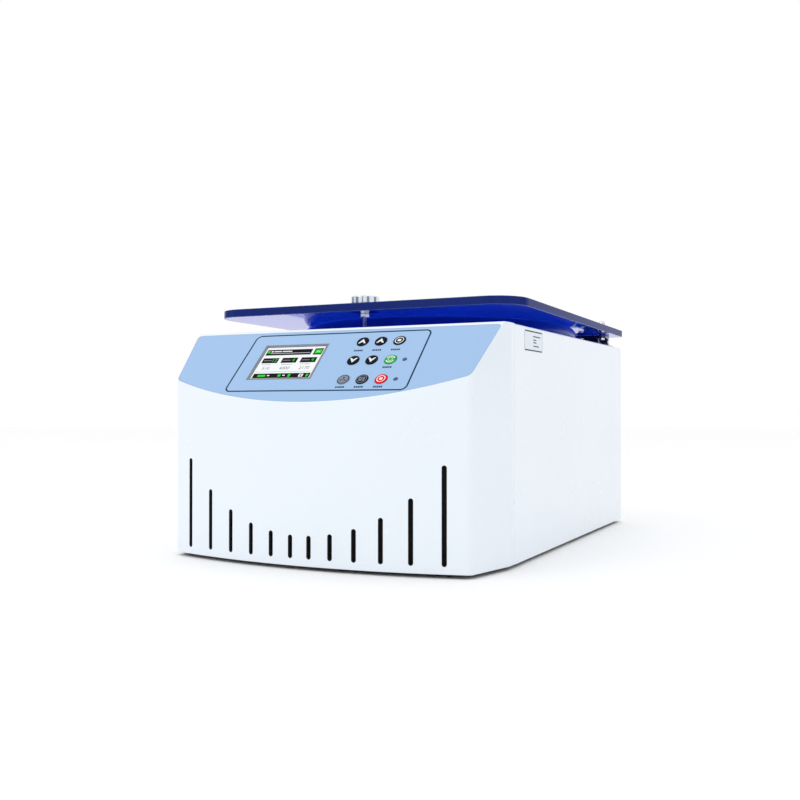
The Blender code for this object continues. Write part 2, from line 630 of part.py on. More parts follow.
def make_power_entry(black, rear_frame):
    spot = (-INLET_X, POWER_HEIGHT, 0)
    inlet = add_solid("power_inlet", prism(centred((0, 0), (0.034, 0.026)), GAP, 0.0028), black, rear_frame, spot)
    fuse(inlet, prism(centred((0, 0), (0.028, 0.020)), -0.020, 0.001), rear_frame, spot)
    cut(inlet, prism(centred((0, 0), (0.0245, 0.0165)), -0.016, 0.01), rear_frame, spot)
    pins = bmesh.new()
    for x, y in ((-0.007, -0.0035), (0, 0.0035), (0.007, -0.0035)):
        add_prism(pins, centred((x, y), (0.002, 0.004)), -0.017, -0.003)
    fuse(inlet, pins, rear_frame, spot)

    spot = (-SWITCH_X, POWER_HEIGHT, 0)
    frame = add_solid("switch_frame", prism(centred((0, 0), (0.018, 0.026)), GAP, 0.0023), black, rear_frame, spot)
    fuse(frame, prism(centred((0, 0), (0.015, 0.023)), -0.018, 0.001), rear_frame, spot)
    cut(frame, prism(centred((0, 0), (0.0120, 0.0214)), -0.013, 0.01), rear_frame, spot)

    body = [(-0.0085, -0.003), (0.0085, -0.003), (0.0090, 0.0065), (0, 0.0044), (-0.0090, 0.0065)]
    pivot = (spot[0], spot[1], -0.003)
    add_solid("power_rocker", side_prism(body, 0.0055), black, rear_frame, pivot, (ROCKER_THROW, 0, 0))

    cap = [(0, 0.008), (0.0065, 0.008), (0.0075, 0.007), (0.0075, 0.0022), (0.0095, 0.0022), (0.0095, GAP),
           (0.0068, GAP), (0.0068, -0.030), (0, -0.030)]
    add_solid("fuse_holder", turned(cap, 16), black, rear_frame, (-FUSE_X, POWER_HEIGHT, 0))


# ---- lid latch under the deck -----------------------------------------------------------------------------------------

def make_latch(black, steel):
    """Solenoid lock: a forked bolt slides across the stud's groove. It is drawn back at rest."""
    spot = (0, y_at(KNOB_DEPTH), 0)
    high = DECK_HEIGHT - SHEET - GAP
    body = add_solid("lock_body", block((-0.016, 0.036), (-0.012, 0.012), (high - 0.026, high)), black, None, spot)
    cut(body, prism(circle((0, 0), 0.0055, 20), high - 0.04, high + 0.01), None, spot)
    level = HINGE_HEIGHT + LID_RISE + (HINGE_DEPTH - KNOB_DEPTH) * math.sin(LID_TILT) - 0.0270
    cut(body, block((0, 0.05), (-0.0053, 0.0053), (level - 0.0018, level + 0.0018)), None, spot)
    bolt_spot = (0.0085, spot[1], level)
    fork = [(0.033, 0.005), (0, 0.005), (0, 0.0018), (0.009, 0.0018), (0.009, -0.0018), (0, -0.0018),
            (0, -0.005), (0.033, -0.005)]
    add_solid("lock_bolt", prism(fork, -0.0015, 0.0015), steel, None, bolt_spot)


# ---- lid ------------------------------------------------------------------------------------------------------------------

def make_lid(acrylic, cover_blue, chrome, lid_frame):
    """Everything on the lid is measured from the hinge axis, in the lid's own tilted frame."""
    front = LID_FRONT_DEPTH - HINGE_DEPTH
    radii = (LID_FRONT_CORNER, LID_FRONT_CORNER, LID_REAR_CORNER, LID_REAR_CORNER)
    outline = rounded_box((-LID_HALF_WIDTH, LID_HALF_WIDTH), (front, LID_REAR_REACH), radii, 8)
    plate = add_solid("lid_plate", prism(outline, LID_RISE, LID_RISE + LID_THICKNESS), acrylic, lid_frame)
    holes = bmesh.new()
    knob_y = KNOB_DEPTH - HINGE_DEPTH
    add_prism(holes, circle((0, knob_y), STUD_HOLE, 16), -0.01, 0.03)
    for x in bolt_positions():
        add_prism(holes, circle((x, HINGE_BOLT_DEPTH - HINGE_DEPTH), 0.0023, 12), -0.01, 0.03)
    cut(plate, holes, lid_frame)

    top = LID_RISE - GAP
    low = top - COVER_HEIGHT
    shell = shoulder_profile(low, top, 0) + list(reversed(shoulder_profile(low, top, COVER_THICKNESS)))
    add_solid("lid_inner_cover", turned(shell, ROUND_STEPS), cover_blue, lid_frame,
              (0, CHAMBER_DEPTH - HINGE_DEPTH, 0))

    knob_low = LID_RISE + LID_THICKNESS + GAP
    knob = [(0, knob_low + KNOB_HEIGHT), (KNOB_RADIUS - 0.0012, knob_low + KNOB_HEIGHT),
            (KNOB_RADIUS, knob_low + KNOB_HEIGHT - 0.0012), (KNOB_RADIUS, knob_low + 0.0008),
            (KNOB_RADIUS - 0.0008, knob_low), (STUD_HOLE, knob_low), (STUD_HOLE, knob_low + 0.007),
            (0, knob_low + 0.007)]
    add_solid("lid_knob", turned(knob, 28), chrome, lid_frame, (0, knob_y, 0))

    tip = LID_RISE - STUD_LENGTH
    groove = LID_RISE - 0.0270
    neck = 0.0012
    stud = [(0, tip), (STUD_RADIUS - 0.0008, tip), (STUD_RADIUS, tip + 0.0012), (STUD_RADIUS, groove - 0.0020),
            (neck, groove - 0.0020), (neck, groove + 0.0024), (STUD_RADIUS, groove + 0.0024),
            (STUD_RADIUS, knob_low + 0.0065), (0, knob_low + 0.0065)]
    add_solid("latch_stud", turned(stud, 16), chrome, lid_frame, (0, knob_y, 0))
    nut = add_solid("latch_nut", prism(circle((0, 0), 0.0054, 6), top - 0.004, top), chrome,
                    lid_frame, (0, knob_y, 0))
    cut(nut, prism(circle((0, 0), STUD_HOLE, 16), -0.05, 0.05), lid_frame, (0, knob_y, 0))


def shoulder_profile(low, top, inset):
    """Half section of the round cover, from the axis out and down to its rim."""
    reach = COVER_RIM_RADIUS - COVER_TOP_RADIUS
    height = top - low
    curve = [(COVER_TOP_RADIUS - inset + reach * math.sin(a), low + (height - inset) * math.cos(a))
             for a in (math.radians(90 * i / 4) for i in range(5))]
    return [(0, top - inset)] + curve


def bolt_positions():
    return [side * HINGE_X + step for side in (-1, 1) for step in (-HINGE_BOLT_SPREAD, HINGE_BOLT_SPREAD)]


def make_hinges(black, chrome, lid_frame):
    leaf_top = LID_RISE - GAP
    leaf_low = leaf_top - LEAF_SIZE[2]
    leaf_front = LEAF_FRONT_DEPTH - HINGE_DEPTH
    leaf_rear = leaf_front + LEAF_SIZE[1]
    arm_front = ARM_FRONT_DEPTH - HINGE_DEPTH
    floor = DECK_HEIGHT + GAP - HINGE_HEIGHT
    plate_top = floor + FOOT_PLATE[2]
    bolt_y = HINGE_BOLT_DEPTH - HINGE_DEPTH
    arm = ([(arm_front, leaf_low + 0.001), (arm_front, -0.0052), (-0.002, -0.0052)]
           + arc((0, 0), BARREL_RADIUS, -70, 90, 8) + [(-0.004, leaf_low + 0.001)])
    ear = ([(-0.0065, plate_top - 0.001), (0.0065, plate_top - 0.001)] + arc((0, 0), EAR_RADIUS, 0, 180, 8))
    for side, word in ((-1, "left"), (1, "right")):
        x = side * HINGE_X
        size = LEAF_SIZE[0] / 2
        leaf = add_solid("hinge_leaf_" + word, block((-size, size), (leaf_front, leaf_rear), (leaf_low, leaf_top)),
                         black, lid_frame, (x, 0, 0))
        fuse(leaf, side_prism(arm, ARM_WIDTH / 2), lid_frame, (x, 0, 0))
        bore = side_prism(circle((0, 0), PIN_RADIUS + GAP, 16), 0.02)
        cut(leaf, bore, lid_frame, (x, 0, 0))
        holes = bmesh.new()
        for step in (-HINGE_BOLT_SPREAD, HINGE_BOLT_SPREAD):
            add_prism(holes, circle((step, bolt_y), 0.0023, 12), -0.01, 0.03)
        cut(leaf, holes, lid_frame, (x, 0, 0))

        axis = (x, y_at(HINGE_DEPTH), HINGE_HEIGHT)
        half_x, depth = FOOT_PLATE[0] / 2, FOOT_PLATE[1]
        foot = block((-half_x, half_x), (0.0068 - depth, 0.0068), (floor, plate_top))
        base = add_solid("hinge_base_" + word, foot, black, None, axis)
        for shift in (-1, 1):
            wall = side_prism(ear, EAR_WIDTH / 2)
            bmesh.ops.translate(wall, verts=wall.verts, vec=(shift * (ARM_WIDTH / 2 + GAP + EAR_WIDTH / 2), 0, 0))
            fuse(base, wall, None, axis)
        cut(base, side_prism(circle((0, 0), PIN_RADIUS + GAP, 16), 0.03), None, axis)

        reach = ARM_WIDTH / 2 + GAP + EAR_WIDTH
        pin = [(0, -reach - 0.001), (PIN_RADIUS, -reach - 0.001), (PIN_RADIUS, reach + GAP),
               (0.0042, reach + GAP), (0.0042, reach + 0.0020), (0.0034, reach + 0.0026), (0, reach + 0.0026)]
        add_solid("hinge_pin_" + word, turned(pin, 16), chrome, None, axis, (0, side * math.pi / 2, 0))

    head = leaf_low - GAP
    seat = LID_RISE + LID_THICKNESS + GAP
    dome = arc((0, seat + ACORN_HEIGHT - ACORN_RADIUS), ACORN_RADIUS - 0.0008, 0, 90, 4)
    bolt = ([(0, head - 0.0030), (0.0034, head - 0.0030), (0.0040, head - 0.0022), (0.0040, head), (0.0020, head),
             (0.0020, seat), (ACORN_RADIUS, seat), (ACORN_RADIUS, seat + 0.0045)] + dome[:-1]
            + [(0, dome[-1][1])])
    words = ("left_outer", "left_inner", "right_inner", "right_outer")
    for word, x in zip(words, bolt_positions()):
        add_solid("lid_bolt_" + word, turned(bolt, 12), chrome, lid_frame, (x, bolt_y, 0))


def build():
    clear_scene()
    white = make_material("white_paint", (0.86, 0.88, 0.91), 0.25)
    blue = make_material("fascia_blue", (0.37, 0.55, 0.82), 0.40)
    acrylic = make_material("blue_acrylic", (0.01, 0.03, 0.25), 0.08)
    cover_blue = make_material("blue_cover", (0.01, 0.04, 0.35), 0.15)
    chrome = make_material("chrome", (0.80, 0.81, 0.83), 0.08, 1.0)
    steel = make_material("zinc_steel", (0.62, 0.63, 0.65), 0.35, 1.0)
    stainless = make_material("stainless", (0.70, 0.71, 0.72), 0.25, 1.0)
    alloy = make_material("rotor_alloy", (0.72, 0.73, 0.75), 0.30, 1.0)
    dark_metal = make_material("motor_black", (0.05, 0.05, 0.055), 0.45, 0.6)
    black = make_material("black_plastic", (0.02, 0.02, 0.022), 0.40)
    rubber = make_material("rubber", (0.03, 0.03, 0.03), 0.75)
    grey = make_material("bezel_grey", (0.42, 0.43, 0.45), 0.45)
    glass = make_material("display_glass", (0.75, 0.78, 0.80), 0.10)
    green = make_material("board_green", (0.02, 0.20, 0.08), 0.50)
    led = make_material("led_lens", (0.14, 0.22, 0.36), 0.25)
    keys = {
        "other": make_material("key_black", (0.015, 0.02, 0.035), 0.35),
        "start_key": make_material("key_green", (0.02, 0.45, 0.10), 0.35),
        "stop_key": make_material("key_red", (0.75, 0.02, 0.03), 0.35),
        "rotor_key": make_material("key_grey", (0.30, 0.34, 0.42), 0.35),
    }
    panel_frame = add_frame("panel_frame", (0, y_at(SLOPE_TOP_DEPTH), DECK_HEIGHT), (SLOPE, 0, 0))
    rear_frame = add_frame("rear_frame", (0, y_at(CASING_DEPTH), 0), (math.pi / 2, 0, math.pi))
    lid_frame = add_frame("lid_frame", (0, y_at(HINGE_DEPTH), HINGE_HEIGHT), (-LID_TILT, 0, 0))

    make_front_cover(white, panel_frame)
    make_side_panels(white)
    make_deck(white)
    make_rear_panel(white, rear_frame)
    make_base(dark_metal, rubber)
    make_chamber(stainless, steel, rubber)
    make_drive(steel, dark_metal, rubber)
    make_rotor(alloy, steel)
    make_fascia(blue, panel_frame)
    make_display(grey, glass, panel_frame)
    make_keys(keys, panel_frame)
    make_leds(led, panel_frame)
    make_boards(green, panel_frame)
    make_power_entry(black, rear_frame)
    make_latch(black, steel)
    make_lid(acrylic, cover_blue, chrome, lid_frame)
    make_hinges(black, chrome, lid_frame)


build()
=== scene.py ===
"""Looks of the bench-top laboratory centrifuge: detailed pieces, materials, light and camera."""
import math

import bmesh
import bpy
from mathutils import Matrix, Vector


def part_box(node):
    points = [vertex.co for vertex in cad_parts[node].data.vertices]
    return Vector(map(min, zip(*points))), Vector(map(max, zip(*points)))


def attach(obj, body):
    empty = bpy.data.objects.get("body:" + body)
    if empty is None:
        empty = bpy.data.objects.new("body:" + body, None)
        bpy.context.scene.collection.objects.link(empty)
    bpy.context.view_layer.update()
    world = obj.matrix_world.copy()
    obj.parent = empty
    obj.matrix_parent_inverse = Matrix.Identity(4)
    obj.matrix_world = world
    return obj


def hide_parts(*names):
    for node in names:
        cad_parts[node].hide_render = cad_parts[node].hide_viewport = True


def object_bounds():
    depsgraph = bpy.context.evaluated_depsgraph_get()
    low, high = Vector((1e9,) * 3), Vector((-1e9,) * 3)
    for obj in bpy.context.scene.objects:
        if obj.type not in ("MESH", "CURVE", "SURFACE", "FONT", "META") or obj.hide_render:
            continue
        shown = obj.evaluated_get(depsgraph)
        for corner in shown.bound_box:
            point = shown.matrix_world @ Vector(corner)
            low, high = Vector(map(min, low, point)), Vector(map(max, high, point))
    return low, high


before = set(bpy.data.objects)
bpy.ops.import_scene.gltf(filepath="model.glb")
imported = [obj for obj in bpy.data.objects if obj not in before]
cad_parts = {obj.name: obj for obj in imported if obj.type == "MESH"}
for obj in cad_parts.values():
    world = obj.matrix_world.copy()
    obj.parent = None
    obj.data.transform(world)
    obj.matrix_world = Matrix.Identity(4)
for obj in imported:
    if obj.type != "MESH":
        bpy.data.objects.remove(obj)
CAD_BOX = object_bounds()

# ---- places read from the frame ----
COVER_LOW, COVER_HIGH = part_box("front_cover")
REAR_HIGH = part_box("rear_panel")[1]
FRONT_Y = COVER_LOW.y
DECK = COVER_HIGH.z
SKIRT = COVER_LOW.z
HALF_WIDTH = COVER_HIGH.x
SEAM_DEPTH = COVER_HIGH.y - FRONT_Y
CASING_DEPTH = REAR_HIGH.y - FRONT_Y


def at(x, y, z=0):
    return Matrix.Translation((x, y, z))


def rotation(angle, axis="Z"):
    return Matrix.Rotation(angle, 4, axis)


def middle(node):
    low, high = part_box(node)
    return (low + high) / 2


CHAMBER = middle("chamber_bowl")
HINGE_POINT = middle("hinge_pin_left")
AXIS_DEPTH = HINGE_POINT.y - FRONT_Y

# ---- sizes of the pieces, the same as the solids they stand for ----
# Depths run back from the casing's front. Places on the slope are (u, v) from the middle of its top
# edge. The lid's heights are above the hinge axis, and the rotor's are above its own foot.
GAP = 0.0003
COVER_WALL = 0.0025
SHEET = 0.002
SEAM = 0.0006
FRONT_RADIUS = 0.616
CHEEK_X = 0.1752
CHEEK_DEPTH = 0.0905
CORNER_RADIUS = 0.008
SLOPE_TOP_DEPTH = 0.0816
SLOPE_FOOT = 0.1679
SLOPE = math.atan2(DECK - SLOPE_FOOT, SLOPE_TOP_DEPTH)
SLOT_WIDTH = 0.0046
SLOT_FOOT = 0.0116
SLOT_FIRST_PITCH = 0.0217
SLOT_PITCH_GROWTH = 0.00205
# the black sleeve in a slot, painted shade of the slot's dark inside, as (growth of the slot's outline,
# distance out from the bowed face)
SLOT_SHADE_PROFILE = ((0.00025, -0.00012), (-0.00004, -0.0006), (-0.00004, -0.0025),
                  (-0.0004, -0.0025), (-0.0004, -0.0004))
SLOT_MOUTH = 0.0006
# from the middle slots outwards
SLOT_TOPS = (0.0348, 0.0376, 0.0440, 0.0560, 0.0755, 0.1075)
FASCIA_RECESS = 0.0012
FASCIA_INSET = 0.0009
FASCIA_EDGE = -0.004
FASCIA_CORNER = 0.006
FASCIA_LOW = GAP - FASCIA_RECESS
FASCIA_TOP = FASCIA_LOW + 0.0008
INK = 0.00006
INK_ROOT = 0.0001
LINE_X, LINE_Y = (-0.101, 0.112), (-0.0974, -0.0087)
LINE_CORNER = 0.0063
LINE_HALF_WIDTH = 0.0009
# how far each key's caption lies below it
CAPTION_DROPS = ((0.0137, 0.0137, 0.0137), (None, None, 0.0113), (0.0109, 0.0109, 0.0109))
CAPTION_PITCH = 0.0021
CAPTION_MARK = (0.0016, 0.0025)
DISPLAY_CENTRE = (-0.0424, -0.0524)
DISPLAY_SIZE = (0.0793, 0.0545)
SCREEN_SIZE = (0.0742, 0.0500)
SCREEN_FACE = -0.0012
KEY_COLUMNS = (0.0375, 0.0588, 0.0803)
KEY_ROWS = (-0.0241, -0.0531, -0.0819)
KEY_NAMES = (("speed_up_key", "time_up_key", "pulse_key"),
             ("speed_down_key", "time_down_key", "start_key"),
             ("rotor_key", "menu_key", "stop_key"))
KEY_RADIUS = 0.0067
KEY_PROUD = 0.0006
KEY_HEAD = 0.0010
KEY_STEM_RADIUS = 0.0035
KEY_STEM_END = -0.0060
LED_U = 0.0962
LED_RADIUS = 0.0023
BOWL_RADIUS = 0.150
BOWL_FOOT_RADIUS = 0.144
BOWL_SHEET = 0.0015
BOWL_FLOOR = 0.1098
BOWL_FILLET = 0.016
LID_TILT = math.radians(0.66)
LID_RISE = 0.0073
LID_THICKNESS = 0.0091
LID_HALF_WIDTH = 0.1916
LID_FRONT_DEPTH = 0.1086
LID_REAR_REACH = 0.0155
LID_CORNER = 0.037
LID_TOP = LID_RISE + LID_THICKNESS
COVER_TOP_RADIUS = 0.167
COVER_RIM_RADIUS = 0.179
COVER_HEIGHT = 0.015
KNOB_DEPTH = 0.138
KNOB_RADIUS = 0.016
LATCH_RADIUS = 0.0025
BOLT_DEPTH = 0.520
BOLT_STEP = 0.015
HINGE_X = 0.157
EAR_THICKNESS = 0.0045
LEAF_HALF_WIDTH = 0.0105
PIN_RADIUS = 0.0025
PIN_BORE = 0.0028
LABEL_DEPTH = 0.1650
LABEL_HEIGHT = 0.2333
LABEL_SIZE = (0.060, 0.0230)
PLATE_CENTRE = (0.030, 0.175)
PLATE_SIZE = (0.070, 0.042)
POCKET_COUNT = 6
POCKET_LEAN = math.radians(35)
POCKET_DEPTH = 0.080
POCKET_SKIN = 0.021
POCKET_RADIUS = 0.015
ROTOR_RADIUS = 0.121
ROTOR_BASE = 0.125
HUB_TOP = 0.072
POCKET_FOOT = 0.018
POWER_HEIGHT = 0.062
INLET_X = -0.118
SWITCH_X = -0.078
FUSE_X = -0.048

CREASE = math.radians(34)
KNOB_Y = KNOB_DEPTH - AXIS_DEPTH
LID_UNDER = LID_RISE - GAP
LEAF_LOW = LID_UNDER - 0.0036
LID_BOLTS = [(side * HINGE_X + step, BOLT_DEPTH - AXIS_DEPTH)
             for side in (-1, 1) for step in (-BOLT_STEP, BOLT_STEP)]

UPRIGHT = Matrix.Identity(4)
PANEL = at(0, FRONT_Y + SLOPE_TOP_DEPTH, DECK) @ rotation(SLOPE, "X")
BACK = at(0, REAR_HIGH.y) @ rotation(math.pi) @ rotation(math.pi / 2, "X")
LID = at(0, HINGE_POINT.y, HINGE_POINT.z) @ rotation(-LID_TILT, "X")


# ---- materials ----

class Finish:
    """One procedural material: a Principled shader fed by noise in the piece's own coordinates."""

    def __init__(self, name, color, roughness, metallic=0.0, **settings):
        self.material = bpy.data.materials.new(name)
        self.material.use_nodes = True
        self.tree = self.material.node_tree
        self.shader = self.tree.nodes["Principled BSDF"]
        self.color = color
        self.feed(self.shader, {"Base Color": (*color, 1.0), "Roughness": roughness, "Metallic": metallic})
        self.feed(self.shader, {key.replace("_", " "): value for key, value in settings.items()})
        self.coordinates = self.node("ShaderNodeTexCoord").outputs["Object"]

    def feed(self, node, inputs):
        """Gives each named input of a node a value or the output of another node."""
        for socket, value in inputs.items():
            if isinstance(value, bpy.types.NodeSocket):
                self.tree.links.new(value, node.inputs[socket])
            else:
                node.inputs[socket].default_value = value

    def node(self, kind, inputs=None, **settings):
        made = self.tree.nodes.new(kind)
        for key, value in settings.items():
            setattr(made, key, value)
        self.feed(made, inputs or {})
        return made

    def noise(self, scale, detail=3.0, stretch=(1, 1, 1), source=None):
        """Noise field, 0 to 1; scale is in waves per metre."""
        mapping = self.node("ShaderNodeMapping", {"Scale": stretch, "Vector": source or self.coordinates})
        inputs = {"Scale": scale, "Detail": detail, "Vector": mapping.outputs["Vector"]}
        return self.node("ShaderNodeTexNoise", inputs).outputs["Fac"]

    def radius(self):
        """Distance from the piece's own Z axis, as a vector for ring-shaped patterns."""
        split = self.node("ShaderNodeSeparateXYZ", {0: self.coordinates})
        flat = self.node("ShaderNodeCombineXYZ", {"X": split.outputs["X"], "Y": split.outputs["Y"]})
        length = self.node("ShaderNodeVectorMath", {0: flat.outputs[0]}, operation="LENGTH")
        rings = {"X": length.outputs["Value"], "Z": split.outputs["Z"]}
        return self.node("ShaderNodeCombineXYZ", rings).outputs[0]

    def flatness(self):
        """1 on faces square to the piece's Z axis, 0 on its sides."""
        normal = self.node("ShaderNodeTexCoord").outputs["Normal"]
        split = self.node("ShaderNodeSeparateXYZ", {0: normal})
        return self.node("ShaderNodeMath", {0: split.outputs["Z"]}, operation="ABSOLUTE").outputs[0]

    def spread(self, field, low, high):
        """Maps the middle of a field to the range low to high."""
        inputs = {"From Min": 0.3, "From Max": 0.7, "To Min": low, "To Max": high, "Value": field}
        return self.node("ShaderNodeMapRange", inputs).outputs["Result"]

    def color_between(self, first, second, factor):
        inputs = {"A": first, "B": second, "Factor": factor}
        return self.node("ShaderNodeMix", inputs, data_type="RGBA").outputs["Result"]

    def tint(self, field, other):
        """Base colour varies between the finish's colour and another one."""
        factor = self.spread(field, 0.0, 1.0)
        mixed = self.color_between((*self.color, 1.0), (*other, 1.0), factor)
        self.feed(self.shader, {"Base Color": mixed})

    def gloss(self, field, low, high):
        self.feed(self.shader, {"Roughness": self.spread(field, low, high)})

    def bump(self, field, depth, strength):
        inputs = {"Strength": strength, "Distance": depth, "Height": field}
        self.feed(self.shader, {"Normal": self.node("ShaderNodeBump", inputs).outputs["Normal"]})


def shaded(color, factor):
    return tuple(min(1.0, channel * factor) for channel in color)


def paint(name, color, roughness, peel=0.00005, **settings):
    """Baked paint: faint orange peel, and patches a little duller where it is handled."""
    finish = Finish(name, color, roughness, **settings)
    finish.tint(finish.noise(7, 2), shaded(color, 0.985))
    finish.gloss(finish.noise(25, 3), roughness * 0.9, roughness * 1.15)
    finish.bump(finish.noise(700, 2), peel, 0.2)
    return finish.material


def plastic(name, color, roughness, **settings):
    """Moulded plastic with a fine eroded texture."""
    finish = Finish(name, color, roughness, **settings)
    finish.tint(finish.noise(60), shaded(color, 0.82))
    finish.gloss(finish.noise(220, 4), roughness * 0.8, roughness * 1.25)
    finish.bump(finish.noise(1400, 3), 0.00006, 0.4)
    return finish.material


def print_ink(name, color, roughness=0.42):
    """Screen-printed ink with slightly uneven coverage."""
    finish = Finish(name, color, roughness, Specular_IOR_Level=0.03)
    finish.tint(finish.noise(700, 4), shaded(color, 0.86))
    finish.bump(finish.noise(2400, 2), 0.00002, 0.3)
    return finish.material


def brushed(name, color, roughness):
    """Rolled or brushed metal with a directional grain."""
    finish = Finish(name, color, roughness, 1.0)
    finish.tint(finish.noise(30), shaded(color, 0.86))
    grain = finish.noise(160, 5, (1, 40, 1))
    finish.gloss(grain, roughness * 0.75, roughness * 1.3)
    finish.bump(grain, 0.00003, 0.25)
    return finish.material


def turned_metal(name, color, roughness, scale=1500):
    """Lathe-turned metal with concentric tool marks round the piece's axis."""
    finish = Finish(name, color, roughness, 1.0)
    rings = finish.noise(scale, 4, source=finish.radius())
    finish.tint(finish.noise(40), shaded(color, 0.90))
    finish.gloss(rings, roughness * 0.7, roughness * 1.3)
    finish.bump(rings, 0.00002, 0.3)
    return finish.material


def polished(name, color, roughness):
    """Chrome plating with faint wiping marks."""
    finish = Finish(name, color, roughness, 1.0)
    finish.tint(finish.noise(90), shaded(color, 0.94))
    finish.gloss(finish.noise(260, 5, (1, 1, 6)), roughness * 0.6, roughness * 2.2)
    return finish.material


def acrylic(name, color, transmission, roughness):
    """Coloured polished acrylic, a little hazy from handling."""
    finish = Finish(name, color, roughness, IOR=1.49, Transmission_Weight=transmission,
                    Specular_IOR_Level=0.18)
    finish.tint(finish.noise(9), shaded(color, 0.85))
    finish.gloss(finish.noise(70, 5), roughness * 0.6, roughness * 2.4)
    finish.bump(finish.noise(12, 1), 0.0002, 0.04)
    return finish


def acrylic_sheet(name, color, transmission, roughness, density, absorbed, edge):
    """Clear sheet, deeper in colour where light goes further through it, with its edges painted opaque and
    darker: painted shade for light's long path through them.
    """
    finish = acrylic(name, color, transmission, roughness)
    body = finish.node("ShaderNodeVolumeAbsorption", {"Color": (*absorbed, 1.0), "Density": density})
    finish.feed(finish.tree.nodes["Material Output"], {"Volume": body.outputs["Volume"]})
    # the sides get the dark edge colour, no transmission and less specular: painted shade of the edges
    flatness = finish.flatness()
    faces = finish.shader.inputs["Base Color"].links[0].from_socket
    finish.feed(finish.shader, {
        "Base Color": finish.color_between((*edge, 1.0), faces, finish.spread(flatness, 0.0, 1.0)),
        "Transmission Weight": finish.spread(flatness, 0.0, transmission),
        "Specular IOR Level": finish.spread(flatness, 0.04, 0.18)})
    return finish.material


def soft_rubber(name, color, roughness):
    finish = Finish(name, color, roughness)
    finish.tint(finish.noise(120, 5), shaded(color, 1.9))
    finish.bump(finish.noise(1600, 3), 0.0001, 0.5)
    return finish.material


def lit_screen(name, color, glow):
    """Backlit panel behind glass, with its pixel grid."""
    finish = Finish(name, color, 0.20, Specular_IOR_Level=0.04)
    pixel, gap = 0.00022, 0.000012
    grid = finish.node("ShaderNodeTexBrick", {
        "Scale": 1.0, "Brick Width": pixel, "Row Height": pixel, "Mortar Size": gap,
        "Color1": (*color, 1.0), "Color2": (*shaded(color, 0.97), 1.0),
        "Mortar": (*shaded(color, 0.80), 1.0), "Vector": finish.coordinates}, offset=0.0, squash=1.0)
    finish.feed(finish.shader, {"Base Color": grid.outputs["Color"]})
    if glow:
        finish.feed(finish.shader, {"Emission Color": (*color, 1.0), "Emission Strength": glow})
    return finish.material


WHITE = paint("white_paint", (0.79, 0.85, 0.915), 0.24, Coat_Weight=0.25, Coat_Roughness=0.10)
FASCIA = paint("fascia_film", (0.315, 0.492, 0.758), 0.38, 0.00003)
LINE_INK = print_ink("line_ink", (0.015, 0.050, 0.10))
CAPTION_INK = print_ink("caption_ink", (0.025, 0.055, 0.11))
WHITE_INK = print_ink("white_ink", (0.86, 0.87, 0.88))
BLACK_INK = print_ink("black_ink", (0.006, 0.008, 0.016), 0.34)
GREEN_INK = print_ink("green_ink", (0.012, 0.43, 0.055), 0.34)
RED_INK = print_ink("red_ink", (0.74, 0.008, 0.018), 0.34)
GREY_INK = print_ink("grey_ink", (0.24, 0.28, 0.36), 0.38)
BEZEL = plastic("bezel_grey", (0.23, 0.24, 0.26), 0.42, Specular_IOR_Level=0.3)
SCREEN = lit_screen("screen_white", (0.80, 0.82, 0.84), 0.12)
SCREEN_BLACK = lit_screen("screen_black", (0.004, 0.004, 0.006), 0.0)
SCREEN_GREEN = lit_screen("screen_green", (0.02, 0.62, 0.03), 0.15)
SCREEN_GREY = lit_screen("screen_grey", (0.26, 0.27, 0.29), 0.0)
LED_LENS = plastic("led_lens", (0.045, 0.085, 0.17), 0.22, Specular_IOR_Level=0.3)
# the dark edge colour is painted shade for light's long path through the sheet's edges
LID_BLUE = acrylic_sheet("lid_blue", (0.23, 0.44, 0.98), 0.95, 0.03, density=260.0,
                         absorbed=(0.0, 0.44, 0.997), edge=(0.012, 0.024, 0.15))
COVER_BLUE = acrylic("cover_blue", (0.0015, 0.026, 0.37), 0.12, 0.06).material
# the blue tint of the chrome is painted reflection of the blue lid and panel round it
CHROME_BLUE_REFLECTION = polished("chrome", (0.74, 0.78, 0.84), 0.05)
STUD_STEEL = turned_metal("stud_steel", (0.50, 0.51, 0.54), 0.22)
HINGE_BLACK = paint("hinge_black", (0.008, 0.009, 0.016), 0.16, Coat_Weight=0.6)
STAINLESS = turned_metal("stainless", (0.62, 0.63, 0.645), 0.26, 700)
ROTOR_ALLOY = turned_metal("rotor_alloy", (0.60, 0.61, 0.635), 0.30, 1100)
STEEL = turned_metal("steel_bright", (0.60, 0.60, 0.62), 0.20)
ZINC = brushed("zinc_steel", (0.55, 0.56, 0.57), 0.36)
RUBBER = soft_rubber("rubber", (0.016, 0.016, 0.017), 0.62)
# near-black for the slot linings and the sheet behind the slots: painted shade of the casing's dark inside
SLOT_SHADE_BLACK = soft_rubber("slot_painted_shade", (0.006, 0.006, 0.007), 0.90)
BLACK = plastic("black_plastic", (0.014, 0.014, 0.016), 0.36)
MOTOR = paint("motor_black", (0.03, 0.03, 0.034), 0.42)
# near-black base pan: painted shade of the dark casing floor seen through the slots
PAN_SHADE_BLACK = paint("pan_painted_shade", (0.006, 0.006, 0.007), 0.75, Specular_IOR_Level=0.15)
BOARD = plastic("board_green", (0.012, 0.13, 0.05), 0.38)
LABEL = print_ink("label_film", (0.80, 0.86, 0.92), 0.32)


# ---- outlines ----

def arc(centre, radius, start, end, steps):
    """Points on a circle, both ends included; angles in degrees from +X."""
    angles = [math.radians(start + (end - start) * i / steps) for i in range(steps + 1)]
    return [(centre[0] + radius * math.cos(a), centre[1] + radius * math.sin(a)) for a in angles]


def circle(centre, radius, steps):
    return arc(centre, radius, 0, 360, steps)[:-1]


def capsule(x, low, high, width, steps=10):
    radius = width / 2
    return (arc((x, high - radius), radius, 0, 180, steps)
            + arc((x, low + radius), radius, 180, 360, steps))


